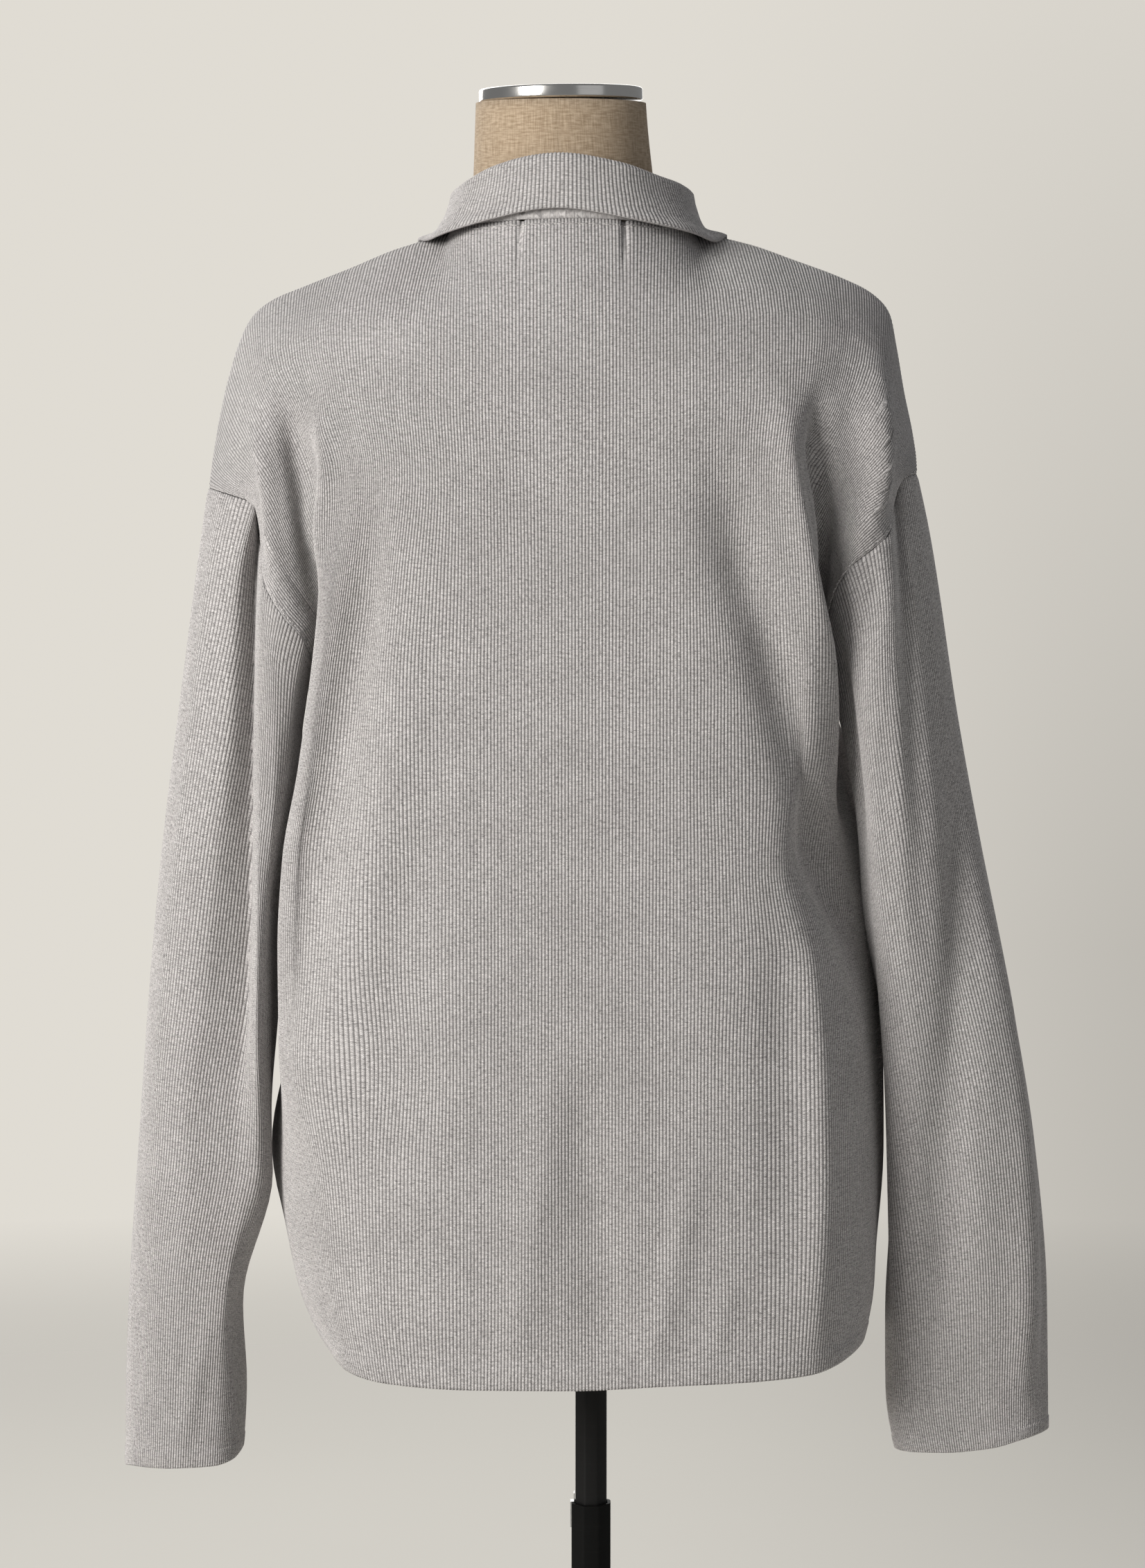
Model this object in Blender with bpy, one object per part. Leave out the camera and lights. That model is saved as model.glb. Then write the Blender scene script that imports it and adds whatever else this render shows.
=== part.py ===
"""Fine-rib cardigan on a limbless dress form with a telescoping pole.

Metres, +Z up. The garment's front faces -Y and its back +Y; +X is the wearer's
left. X = Y = 0 is the pole axis and Z = 0 the floor. Each cloth panel is a wall
of even thickness laid under a surface that passes through measured sections.
"""

import math

import bmesh
import bpy
import numpy as np
from mathutils import Vector
from mathutils.bvhtree import BVHTree

MM = 0.001

# Cloth
WALL = 2.0 * MM
SEAM_GAP = 0.46 * MM
HEM_BAND = 14.0
CUFF_BAND = 13.0
BAND_STEP = 0.45 * MM

# Button bands and buttons
BAND_HALF = 15.0
BUTTON_R = 7.5 * MM
BUTTON_THICK = 2.8 * MM
BUTTON_LIFT = 0.5 * MM
BUTTON_Z = (0.738, 0.852, 0.966, 1.080, 1.194, 1.308)

# Stand
TUBE_UPPER_AF = 19.9 * MM
TUBE_UPPER_WALL = 1.5 * MM
TUBE_LOWER_AF = 24.9 * MM
TUBE_LOWER_BORE_AF = 20.9 * MM
RIM_Z = 0.602
UPPER_TUBE_FOOT_Z = 0.300
FORM_FOOT_Z = 0.768
BASE_R = 0.150
BASE_THICK = 0.012
SOCKET_R = 0.0215
SOCKET_TOP_Z = 0.040

# Neck cap
CAP_R = 50.8 * MM
CAP_THICK = 8.0 * MM
CAP_TILT = math.radians(0.9)

# Half of a panel's top edge: share of the half width where the neck point lies
NECK_S = 0.293

# Armhole seams, mm. v is 250 at the shoulder point and 0 at the underarm.
ARMHOLE_BACK_LEFT = (
    # v, x, y, z
    (0, 176, 0, 1128), (58, 173, 50, 1144), (76, 176, 69, 1155), (96, 188, 74, 1169),
    (124, 202, 64, 1192), (164, 206, 30, 1219), (190, 207.5, 44, 1237), (210, 222, 35, 1243),
    (250, 240.5, -5, 1247),
)
ARMHOLE_BACK_RIGHT = (
    (0, -157, 0, 1120), (61, -145, 42, 1160), (89, -148, 60, 1182), (112, -157, 71, 1199),
    (133, -174, 71, 1213), (149, -184, 62, 1222), (178, -187, 43, 1239), (198, -191, 41, 1252),
    (218, -199, 29, 1256), (250, -204, -5, 1256),
)
ARMHOLE_FRONT_LEFT = (
    (0, 176, 0, 1128), (50, 181, -38, 1141), (92, 189, -61, 1165), (134, 203, -67, 1195),
    (172, 220, -58, 1220), (208, 233, -38, 1236), (250, 240.5, -5, 1247),
)
ARMHOLE_FRONT_RIGHT = (
    (0, -157, 0, 1120), (50, -161, -38, 1134), (92, -169, -61, 1162), (134, -181, -67, 1196),
    (172, -193, -58, 1226), (208, -201, -38, 1245), (250, -204, -5, 1256),
)

# Top edges of the panels, mm: the shoulder seam from the shoulder point to the neck point.
SHOULDER_LEFT = (
    # s, x, y, z
    (1.0, 240.5, -5, 1247), (0.92, 236, -5, 1279), (0.84, 230, -5, 1310), (0.77, 221, -5, 1341),
    (0.73, 212.5, -5, 1357), (0.68, 200, -5, 1367), (0.60, 178, -5, 1376), (0.50, 151, -5, 1386.5),
    (0.40, 121, -5, 1399), (NECK_S, 89, -5, 1408),
)
SHOULDER_RIGHT = (
    (1.0, -204, -5, 1256), (0.92, -200, -5, 1285), (0.84, -194, -5, 1314), (0.77, -189.5, -5, 1342),
    (0.73, -186.5, -5, 1359), (0.68, -176, -5, 1371), (0.60, -157, -5, 1380.5), (0.50, -127, -5, 1391.5),
    (0.40, -97, -5, 1402), (NECK_S, -64, -5, 1409),
)
NECKLINE_BACK = (
    # s, x, y, z
    (NECK_S, 89, -5, 1408), (0.24, 83.5, 25, 1409), (0.17, 66, 50, 1411), (0.09, 40, 67.5, 1412.5),
    (0.0, 12.5, 72, 1413), (-0.09, -15, 67.5, 1412.5), (-0.17, -41, 50, 1411), (-0.24, -58.5, 25, 1410),
    (-NECK_S, -64, -5, 1409),
)
NECKLINE_FRONT_LEFT = (
    (NECK_S, 89, -5, 1408), (0.24, 87, -30, 1401), (0.17, 77, -58, 1384), (0.09, 52, -83, 1359),
    (0.0, 15, -96, 1342),
)
NECKLINE_FRONT_RIGHT = (
    (NECK_S, -64, -5, 1409), (0.24, -62, -30, 1402), (0.17, -53, -58, 1384), (0.09, -36, -82, 1359),
    (0.0, -15, -93.5, 1342),
)

# Sections of the back panel below and above the underarm (v = 0), mm, left edge to right edge.
BACK_SECTIONS = (
    (-428, (  # hem
        (1.0, 170, -15, 724), (0.80, 172, 25, 721), (0.62, 162, 68, 713.5), (0.50, 150, 95, 706.5),
        (0.39, 127, 113, 703), (0.207, 74, 124, 701), (0.0, 12, 126, 701), (-0.207, -50, 124, 703.5),
        (-0.35, -95, 118, 704.5), (-0.47, -135, 105, 706.5), (-0.58, -156, 79, 710), (-0.78, -172, 22, 713),
        (-1.0, -174, -15, 716))),
    (-382, (
        (1.0, 183, -15, 750), (0.80, 184.5, 20, 748), (0.62, 173.5, 66, 748), (0.50, 159, 93, 748),
        (0.39, 132, 111, 748), (0.207, 74, 122, 748), (0.0, 12, 124, 748), (-0.207, -50, 122, 748),
        (-0.35, -95, 118, 748), (-0.47, -137, 108, 748), (-0.58, -160, 76, 748), (-0.78, -178.5, 20, 749),
        (-1.0, -179, -15, 750))),
    (-300, (
        (1.0, 203.5, -18, 830), (0.80, 197, 14, 830), (0.62, 184, 62, 830), (0.50, 166, 89, 830),
        (0.39, 134, 107, 830), (0.207, 74, 119, 830), (0.0, 12, 122, 830), (-0.207, -50, 120, 830),
        (-0.35, -95, 116, 830), (-0.47, -139, 103, 830), (-0.58, -163, 70, 830), (-0.78, -181, 18, 830),
        (-1.0, -186, -15, 830))),
    (-230, (
        (1.0, 190, -14, 900), (0.84, 190, 16, 900), (0.72, 193.5, 36, 900), (0.63, 194, 52, 900),
        (0.54, 184, 76, 900), (0.47, 164, 89, 900), (0.39, 132, 104, 900), (0.207, 74, 117, 900),
        (0.0, 12, 120, 900), (-0.207, -50, 118, 900), (-0.35, -95, 113, 900), (-0.47, -138, 99, 900),
        (-0.58, -161, 66, 900), (-0.78, -179, 16, 900), (-1.0, -185, -12, 900))),
    (-170, (
        (1.0, 178, -12, 960), (0.84, 181, 20, 960), (0.72, 190, 40, 960), (0.63, 194.5, 56, 960),
        (0.55, 186, 77, 960), (0.47, 163, 86, 960), (0.38, 131, 101, 960), (0.207, 74, 115, 960),
        (0.0, 12, 118, 960), (-0.207, -50, 117, 960), (-0.34, -93, 112, 960), (-0.46, -133, 96, 960),
        (-0.58, -156, 58, 960), (-0.78, -173, 16, 960), (-1.0, -179, -10, 960))),
    (-110, (
        (1.0, 175, -8, 1020), (0.84, 174, 24, 1020), (0.72, 183, 44, 1020), (0.63, 191, 60, 1020),
        (0.55, 183, 79, 1020), (0.47, 161, 84, 1020), (0.38, 130, 98, 1020), (0.207, 74, 113, 1020),
        (0.0, 12, 116, 1020), (-0.207, -50, 115, 1020), (-0.33, -88, 110, 1020), (-0.43, -116, 99, 1020),
        (-0.54, -141, 66, 1020), (-0.68, -157, 34, 1020), (-0.84, -167, 10, 1020), (-1.0, -172, -8, 1020))),
    (-55, (
        (1.0, 163, -4, 1075), (0.84, 160, 24, 1075), (0.72, 171, 48, 1075), (0.63, 181, 65, 1075),
        (0.55, 174, 82, 1075), (0.47, 155, 86, 1075), (0.38, 129, 97, 1075), (0.207, 74, 111, 1075),
        (0.0, 12, 114, 1075), (-0.207, -50, 113, 1075), (-0.32, -84, 108, 1075), (-0.42, -117, 99, 1075),
        (-0.50, -140, 86, 1075), (-0.58, -149, 62, 1075), (-0.70, -145, 38, 1075), (-0.84, -149, 16, 1075),
        (-1.0, -153, -4, 1073))),
    (0, (
        (1.0, 176, 0, 1128), (0.84, 160, 24, 1130), (0.72, 161, 48, 1131), (0.63, 173, 69, 1132),
        (0.55, 166, 84, 1132), (0.46, 147, 88, 1132), (0.37, 125, 97, 1132), (0.207, 74, 109, 1131),
        (0.0, 12, 112, 1130), (-0.207, -50, 111, 1131), (-0.32, -84, 107, 1131), (-0.42, -113, 100, 1131),
        (-0.50, -134, 92, 1131), (-0.58, -143.5, 72, 1130), (-0.70, -137, 46, 1129),
        (-0.84, -140, 22, 1126), (-1.0, -157, 0, 1120))),
    (60, (
        (0.90, 162, 46, 1158), (0.76, 157, 54, 1174), (0.65, 167, 78, 1186), (0.56, 158, 88, 1190),
        (0.46, 140, 93, 1191), (0.37, 121, 101, 1191), (0.207, 73, 109, 1189), (0.0, 12, 111.5, 1187),
        (-0.207, -50, 110, 1189), (-0.32, -82, 107, 1190), (-0.43, -112, 101, 1191),
        (-0.53, -131, 93, 1189), (-0.62, -138, 78, 1185), (-0.76, -136, 54, 1174), (-0.90, -140, 44, 1164))),
    (120, (
        (0.92, 193, 70, 1207), (0.82, 182, 72, 1227), (0.72, 170, 70, 1243), (0.62, 160, 80, 1254),
        (0.52, 145, 92, 1258), (0.42, 126, 101, 1257), (0.207, 73, 108.5, 1247), (0.0, 12, 110.5, 1243),
        (-0.207, -50, 109.5, 1247), (-0.38, -98, 104, 1257), (-0.48, -117, 98, 1260),
        (-0.58, -131, 89, 1259), (-0.68, -142, 76, 1251), (-0.80, -151, 72, 1238), (-0.92, -158, 74, 1219))),
    (180, (
        (0.92, 204.5, 60, 1242), (0.82, 198, 69, 1264), (0.72, 186.5, 69, 1285), (0.62, 172, 73, 1299),
        (0.52, 155, 83, 1307), (0.41, 129, 94, 1309), (0.207, 75, 105, 1302), (0.0, 12, 108, 1300),
        (-0.207, -50, 106, 1303), (-0.40, -105, 96, 1310), (-0.50, -130, 86, 1309),
        (-0.60, -147, 76, 1302), (-0.71, -163, 70, 1288), (-0.82, -177, 69, 1269),
        (-0.92, -184.5, 60, 1252))),
    (225, (
        (0.90, 226, 30, 1269), (0.80, 214.5, 40, 1301), (0.71, 203.5, 47, 1326), (0.60, 179, 55, 1343),
        (0.50, 156, 65, 1351), (0.40, 127, 78, 1355), (0.207, 75, 97, 1348), (0.0, 12, 102, 1344),
        (-0.207, -50, 97, 1349), (-0.40, -105, 78, 1359), (-0.50, -133, 65, 1356),
        (-0.60, -156, 55, 1348), (-0.71, -179, 47, 1329), (-0.80, -189.5, 40, 1306),
        (-0.90, -197, 29, 1278))),
)

# Sections of the front panels, mm: s = 1 at the side, 0 at the button band.
FRONT_LEFT_SECTIONS = (
    (-428, ((1.0, 170, -15, 724), (0.84, 167, -62, 716), (0.68, 146, -87, 703), (0.46, 106, -105, 701),
            (0.22, 58, -112, 700), (0.0, 15, -114, 700))),
    (-382, ((1.0, 183, -15, 750), (0.84, 173, -58, 748), (0.68, 151, -88, 748), (0.46, 108, -106, 748),
            (0.22, 58, -113, 748), (0.0, 15, -115, 748))),
    (-300, ((1.0, 203.5, -18, 830), (0.84, 192, -62, 830), (0.68, 160, -92, 830), (0.46, 109, -107, 830),
            (0.22, 58, -114, 830), (0.0, 15, -116, 830))),
    (-230, ((1.0, 190, -14, 900), (0.84, 186, -60, 900), (0.68, 164, -93, 900), (0.46, 108, -107, 900),
            (0.22, 58, -115, 900), (0.0, 15, -117, 900))),
    (-170, ((1.0, 178, -12, 960), (0.84, 183, -60, 960), (0.68, 165, -94, 960), (0.46, 107, -108, 960),
            (0.22, 58, -116, 960), (0.0, 15, -118, 960))),
    (-110, ((1.0, 175, -8, 1020), (0.84, 181, -62, 1020), (0.68, 166, -94, 1020), (0.46, 106, -109, 1020),
            (0.22, 58, -117, 1020), (0.0, 15, -119, 1020))),
    (-55, ((1.0, 163, -4, 1075), (0.84, 166, -48, 1075), (0.68, 160, -92, 1075), (0.46, 105, -109, 1075),
           (0.22, 58, -118, 1075), (0.0, 15, -120, 1075))),
    (0, ((1.0, 176, 0, 1128), (0.84, 165, -46, 1130), (0.68, 143, -85, 1131), (0.46, 104, -109, 1131),
         (0.22, 58, -118, 1130), (0.0, 15, -121, 1130))),
    (60, ((0.84, 170, -60, 1164), (0.68, 147, -86, 1178), (0.46, 104, -108, 1187),
          (0.22, 58, -117, 1188), (0.0, 15, -119, 1186))),
    (120, ((0.84, 187, -70, 1216), (0.68, 161, -80, 1238), (0.46, 110, -103, 1247),
           (0.22, 58, -113, 1244), (0.0, 15, -116, 1240))),
    (180, ((0.84, 209, -60, 1262), (0.68, 182, -65, 1292), (0.46, 128, -86, 1306),
           (0.22, 62, -105, 1299), (0.0, 15, -109, 1290))),
    (225, ((0.84, 221, -34, 1294), (0.68, 196, -40, 1332), (0.46, 142, -58, 1357),
           (0.22, 74, -86, 1345), (0.0, 15, -101, 1322))),
)
FRONT_RIGHT_SECTIONS = (
    (-428, ((1.0, -174, -15, 716), (0.84, -168, -62, 710), (0.68, -146, -87, 703), (0.46, -106, -105, 701),
            (0.22, -58, -112, 700), (0.0, -15, -111.3, 700))),
    (-382, ((1.0, -179, -15, 750), (0.84, -170, -58, 748), (0.68, -149, -88, 748), (0.46, -107, -106, 748),
            (0.22, -58, -113, 748), (0.0, -15, -112.3, 748))),
    (-300, ((1.0, -186, -15, 830), (0.84, -178, -60, 830), (0.68, -149, -90, 830), (0.46, -107, -107, 830),
            (0.22, -58, -114, 830), (0.0, -15, -113.3, 830))),
    (-230, ((1.0, -185, -12, 900), (0.84, -177, -60, 900), (0.68, -155, -92, 900), (0.46, -106, -107, 900),
            (0.22, -58, -115, 900), (0.0, -15, -114.3, 900))),
    (-170, ((1.0, -179, -10, 960), (0.84, -177, -60, 960), (0.68, -155, -93, 960), (0.46, -104, -108, 960),
            (0.22, -58, -116, 960), (0.0, -15, -115.3, 960))),
    (-110, ((1.0, -172, -8, 1020), (0.84, -173, -56, 1020), (0.68, -152, -92, 1020), (0.46, -102, -109, 1020),
            (0.22, -57, -117, 1020), (0.0, -15, -116.3, 1020))),
    (-55, ((1.0, -153, -4, 1073), (0.84, -166, -48, 1074), (0.68, -151, -90, 1075), (0.46, -100, -109, 1075),
           (0.22, -56, -118, 1075), (0.0, -15, -117.3, 1075))),
    (0, ((1.0, -157, 0, 1120), (0.84, -147, -46, 1126), (0.68, -131, -85, 1130), (0.46, -97, -109, 1130),
         (0.22, -55, -118, 1130), (0.0, -15, -118.3, 1130))),
    (60, ((0.84, -151, -60, 1160), (0.68, -132, -86, 1177), (0.46, -95, -108, 1187),
          (0.22, -54, -117, 1188), (0.0, -15, -116.3, 1186))),
    (120, ((0.84, -164, -70, 1218), (0.68, -141, -80, 1241), (0.46, -97, -103, 1249),
           (0.22, -52, -113, 1245), (0.0, -15, -113.3, 1240))),
    (180, ((0.84, -180, -60, 1268), (0.68, -157, -65, 1298), (0.46, -107, -86, 1309),
           (0.22, -52, -105, 1300), (0.0, -15, -106.3, 1290))),
    (225, ((0.84, -188, -34, 1300), (0.68, -171, -40, 1338), (0.46, -119, -58, 1361),
           (0.22, -54, -86, 1346), (0.0, -15, -98.3, 1322))),
)

# Rings of the sleeves below the armhole seam, mm. q runs from the outer line (0) by the back to the
# underarm line (0.5) and by the front back to the outer line (1).
SLEEVE_LEFT_RINGS = (
    (0.08, (
        (0.0, 247, -4, 1200), (0.06, 238, 28, 1198), (0.115, 219, 43, 1193), (0.165, 208.5, 30, 1185),
        (0.225, 206, 60, 1166), (0.26, 202.5, 68, 1153), (0.31, 194, 73, 1136), (0.355, 182.5, 66, 1122),
        (0.40, 182, 48, 1109), (0.5, 190, 0, 1088), (0.6, 192, -42, 1100), (0.75, 212, -62, 1142),
        (0.9, 238, -40, 1188))),
    (0.22, (
        (0.0, 259, -3, 1110), (0.06, 248, 32, 1108), (0.115, 225, 46, 1104), (0.165, 210.5, 33, 1097),
        (0.215, 207.5, 57, 1088), (0.255, 203.5, 67, 1078), (0.31, 196, 69, 1066), (0.37, 188.5, 53, 1053),
        (0.42, 185.5, 32, 1042), (0.5, 187, -5, 1032), (0.6, 194, -44, 1036), (0.75, 222, -60, 1064),
        (0.9, 251, -40, 1096))),
    (0.36, (
        (0.0, 270, -2, 1022), (0.06, 258, 34, 1021), (0.115, 233, 48, 1018), (0.165, 212, 36, 1013),
        (0.21, 209, 55, 1007), (0.255, 205.5, 64, 1000), (0.31, 201, 60, 992), (0.37, 198, 43, 984),
        (0.42, 196, 22, 978), (0.5, 194, -8, 973), (0.6, 200, -44, 976), (0.75, 230, -60, 992),
        (0.9, 261, -38, 1012))),
    (0.50, (
        (0.0, 279, -1, 932), (0.06, 268, 34, 931), (0.115, 242, 48, 928), (0.165, 215.5, 38, 924),
        (0.21, 211, 52, 920), (0.255, 207.5, 59, 914), (0.31, 204, 52, 908), (0.37, 200, 36, 902),
        (0.42, 199.5, 17, 898), (0.5, 200, -10, 895), (0.6, 205, -44, 897), (0.75, 236, -58, 908),
        (0.9, 269, -36, 922))),
    (0.65, (
        (0.0, 286, 0, 838), (0.07, 275, 33, 837), (0.13, 248, 47, 834), (0.19, 221, 43, 830),
        (0.25, 210, 44, 826), (0.33, 200.5, 27, 820), (0.42, 205.5, 2, 815), (0.5, 210, -18, 812),
        (0.6, 219, -42, 815), (0.75, 245, -52, 822), (0.9, 275, -32, 832))),
    (0.80, (
        (0.0, 292.5, 2, 742), (0.07, 282, 32, 741), (0.14, 256, 44, 739), (0.21, 231, 40, 736),
        (0.28, 224.5, 24, 733), (0.38, 221.5, 2, 730), (0.5, 224, -20, 728), (0.62, 236, -38, 729),
        (0.76, 262, -42, 733), (0.9, 284, -26, 739))),
    (0.90, (
        (0.0, 295, 3, 686), (0.07, 286, 30, 685), (0.14, 261, 42, 684), (0.21, 235, 37, 682),
        (0.28, 223, 22, 681), (0.38, 219, 2, 680), (0.5, 222, -18, 680), (0.62, 239, -33, 681),
        (0.76, 264, -36, 683), (0.9, 286, -22, 685))),
    (1.0, (
        (0.0, 296, 4, 628), (0.07, 288, 29, 632), (0.14, 263, 41, 633), (0.21, 237, 36, 633.5),
        (0.28, 225, 22, 636), (0.38, 221.5, 3, 639), (0.5, 225, -15, 639), (0.62, 241, -29, 636),
        (0.76, 265, -32, 631), (0.9, 287, -19, 628))),
)
SLEEVE_RIGHT_RINGS = (
    (0.08, (
        (0.0, -214, -3, 1206), (0.06, -208, 26, 1204), (0.115, -196, 46, 1196), (0.155, -190, 52, 1186),
        (0.21, -184, 67, 1173), (0.27, -171, 72, 1157), (0.33, -158, 62, 1137), (0.39, -156, 38, 1113),
        (0.5, -182, 0, 1096), (0.6, -184, -42, 1102), (0.75, -189, -62, 1145), (0.9, -208, -40, 1194))),
    (0.22, (
        (0.0, -229.5, -2, 1110), (0.06, -222, 28, 1108), (0.12, -205, 49, 1103), (0.165, -194, 58, 1097),
        (0.21, -186, 67, 1090), (0.27, -175, 69, 1078), (0.33, -168, 57, 1064), (0.40, -168, 34, 1048),
        (0.5, -185, -4, 1038), (0.6, -190, -44, 1040), (0.75, -200, -60, 1064), (0.9, -222, -40, 1096))),
    (0.36, (
        (0.0, -246, -1, 1022), (0.06, -238, 30, 1021), (0.12, -217, 51, 1017), (0.17, -202, 58, 1012),
        (0.22, -190, 64, 1006), (0.28, -179, 62, 998), (0.34, -174, 48, 989), (0.41, -176, 24, 980),
        (0.5, -184, -8, 974), (0.6, -192, -44, 977), (0.75, -210, -60, 994), (0.9, -237, -38, 1013))),
    (0.50, (
        (0.0, -264, 0, 932), (0.06, -256, 28, 931), (0.12, -234, 49, 927), (0.18, -213, 55, 922),
        (0.24, -198, 57, 916), (0.3, -187, 50, 909), (0.36, -182.5, 34, 903), (0.43, -186, 12, 897),
        (0.5, -192, -12, 894), (0.6, -202, -44, 896), (0.75, -221, -58, 907), (0.9, -254, -36, 922))),
    (0.65, (
        (0.0, -280, 1, 838), (0.06, -273, 26, 837), (0.12, -253, 44, 834), (0.18, -229, 51, 830),
        (0.24, -210, 50, 826), (0.3, -195, 42, 822), (0.37, -187, 26, 817), (0.44, -190, 6, 814),
        (0.5, -194, -12, 812), (0.6, -204, -38, 815), (0.75, -230, -50, 822), (0.9, -268, -32, 832))),
    (0.80, (
        (0.0, -289, 2, 742), (0.06, -283, 20, 741), (0.12, -266, 36, 739), (0.18, -243, 42, 736),
        (0.24, -221, 42, 733), (0.3, -202, 36, 731), (0.37, -190, 22, 729), (0.44, -187, 6, 728),
        (0.5, -189, -8, 728), (0.6, -203, -28, 730), (0.75, -236, -38, 734), (0.9, -275, -26, 740))),
    (0.90, (
        (0.0, -290, 3, 692), (0.06, -285, 16, 691), (0.12, -269, 30, 688), (0.18, -248, 35, 685),
        (0.24, -226, 35, 682), (0.3, -206, 30, 680), (0.37, -191, 19, 679), (0.44, -187.5, 6, 678),
        (0.5, -190, -6, 679), (0.6, -208, -22, 681), (0.75, -240, -31, 686), (0.9, -276, -20, 691))),
    (1.0, (
        (0.0, -290.5, 4, 651), (0.06, -286, 15, 650.5), (0.12, -272, 26, 648), (0.18, -252, 31, 643.5),
        (0.24, -230, 31, 641), (0.3, -210, 27, 640), (0.37, -198, 18, 639), (0.44, -193.5, 6, 638.5),
        (0.5, -195.5, -4, 639), (0.6, -212, -18, 640), (0.75, -243, -26, 645), (0.9, -277, -16, 650))),
)

# Collar, mm, by share of the way from the left front end to the right front end.
COLLAR = (
    # u, stand height, lean to the neck, fold width, fall drop, flare of the fall edge
    (0.00, 17, 3, 7, 58, 12),
    (0.12, 19, 5, 7, 50, 14),
    (0.26, 22, 9, 6, 38, 15),
    (0.34, 25, 10.5, 5, 27, 11),
    (0.42, 33, 10, 6, 31, 11),
    (0.50, 37.5, 8, 6, 33, 6),
    (0.58, 33, 10, 6, 31, 11),
    (0.66, 26, 10.5, 5, 27, 11),
    (0.74, 22, 9, 6, 38, 15),
    (0.88, 19, 5, 7, 50, 14),
    (1.00, 17, 3, 7, 58, 12),
)
NECK_AXIS = (13.0, -8.0)
FALL_CLEAR = 2.8 * MM
FALL_ROWS = 4
FORM_CLEAR = 1.3 * MM

# Sections of the dress form, mm.
FORM = (
    # z, centre x, centre y, half width, half depth, power
    (768, 2, -4, 118, 84, 2.3),
    (776, 2, -4, 132, 94, 2.3),
    (830, 3, -4, 146, 102, 2.3),
    (880, 4, -4, 146, 101, 2.3),
    (960, 5, -4, 134, 92, 2.3),
    (1030, 6, -4, 126, 86, 2.3),
    (1100, 7, -5, 127, 89, 2.3),
    (1170, 8, -5, 130, 97, 2.3),
    (1230, 10, -4, 139, 100, 2.3),
    (1280, 11, -3, 151, 99, 2.4),
    (1310, 12, -2, 164, 92, 2.4),
    (1332, 13, -1, 172, 82, 2.4),
    (1348, 13.5, 0, 170, 71, 2.4),
    (1360, 13.5, 0, 158, 63, 2.3),
    (1370, 14, 0, 140, 59, 2.2),
    (1380, 14, 0, 113, 56, 2.1),
    (1390, 14, 0, 88, 53.5, 2.0),
    (1399, 14.5, 0, 72, 53.5, 2.0),
    (1410, 15, 0, 62, 54.5, 2.0),
    (1424, 16.5, 0, 57.5, 56, 2.0),
    (1442, 17.6, 0, 55.8, 55.5, 2.0),
    (1486, 19, 0, 52.9, 53.2, 2.0),
)

# Grid counts
ROWS_BODY = 13
ARM_V = (30.0, 60.0, 90.0, 120.0, 150.0, 180.0, 204.0, 221.0, 232.0, 242.0, 250.0)
SHOULDER_S = (NECK_S, 0.37, 0.45, 0.54, 0.63, 0.70, 0.76, 0.84, 0.92, 1.0)
NECK_COLUMNS_S = (0.0, 0.06, 0.12, 0.17, 0.21, 0.244, 0.271)
RING_ROWS = 18

COLOURS = {
    "knit": ((0.437, 0.418, 0.408, 1.0), 0.95, 0.0),
    "linen": ((0.360, 0.262, 0.165, 1.0), 0.90, 0.0),
    "chrome": ((0.62, 0.62, 0.61, 1.0), 0.12, 1.0),
    "black_metal": ((0.012, 0.011, 0.011, 1.0), 0.38, 0.0),
    "steel": ((0.50, 0.50, 0.49, 1.0), 0.28, 1.0),
    "button": ((0.330, 0.320, 0.312, 1.0), 0.35, 0.0),
}


# ---------------------------------------------------------------- curves and sections

def slopes(x, y):
    """End-safe slopes of a curve through (x, y) that never overshoots its points."""
    h = np.diff(x)
    d = np.diff(y, axis=0) / h[:, None]
    m = np.zeros_like(y)
    if len(x) == 2:
        return np.repeat(d, 2, axis=0)
    w1 = (2 * h[1:] + h[:-1])[:, None]
    w2 = (h[1:] + 2 * h[:-1])[:, None]
    same = d[:-1] * d[1:] > 0
    safe = np.where(same, d[:-1], 1.0), np.where(same, d[1:], 1.0)
    m[1:-1] = np.where(same, (w1 + w2) / (w1 / safe[0] + w2 / safe[1]), 0.0)
    for end, near, a, b in ((0, 0, 0, 1), (-1, -1, -1, -2)):
        first = ((2 * h[a] + h[b]) * d[near] - h[a] * d[b]) / (h[a] + h[b])
        first = np.where(first * d[near] <= 0, 0.0, first)
        limit = 3 * np.abs(d[near])
        turned = (d[near] * d[b] < 0) & (np.abs(first) > limit)
        m[end] = np.where(turned, 3 * d[near], first)
    return m


def through(x, y, at):
    """Values at `at` of the smooth curve through the points y given at rising x."""
    x, y, at = np.asarray(x, float), np.asarray(y, float), np.asarray(at, float)
    flat = y.ndim == 1
    y = y.reshape(len(x), -1)
    m = slopes(x, y)
    k = np.clip(np.searchsorted(x, at, side="right") - 1, 0, len(x) - 2)
    h = (x[k + 1] - x[k])[:, None]
    t = ((at - x[k])[:, None]) / h
    out = (
        (1 + 2 * t) * (1 - t) ** 2 * y[k] + t * (1 - t) ** 2 * h * m[k]
        + t * t * (3 - 2 * t) * y[k + 1] + t * t * (t - 1) * h * m[k + 1]
    )
    return out[:, 0] if flat else out


def table_curve(rows, at):
    """Points in metres of a table of (parameter, x, y, z) rows at the parameters `at`."""
    rows = sorted(rows)
    data = np.array(rows, float)
    return through(data[:, 0], data[:, 1:], at) * MM


def signed(rows, sign):
    """The same table with its parameter multiplied by sign."""
    return tuple((sign * r[0], *r[1:]) for r in rows)


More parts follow.
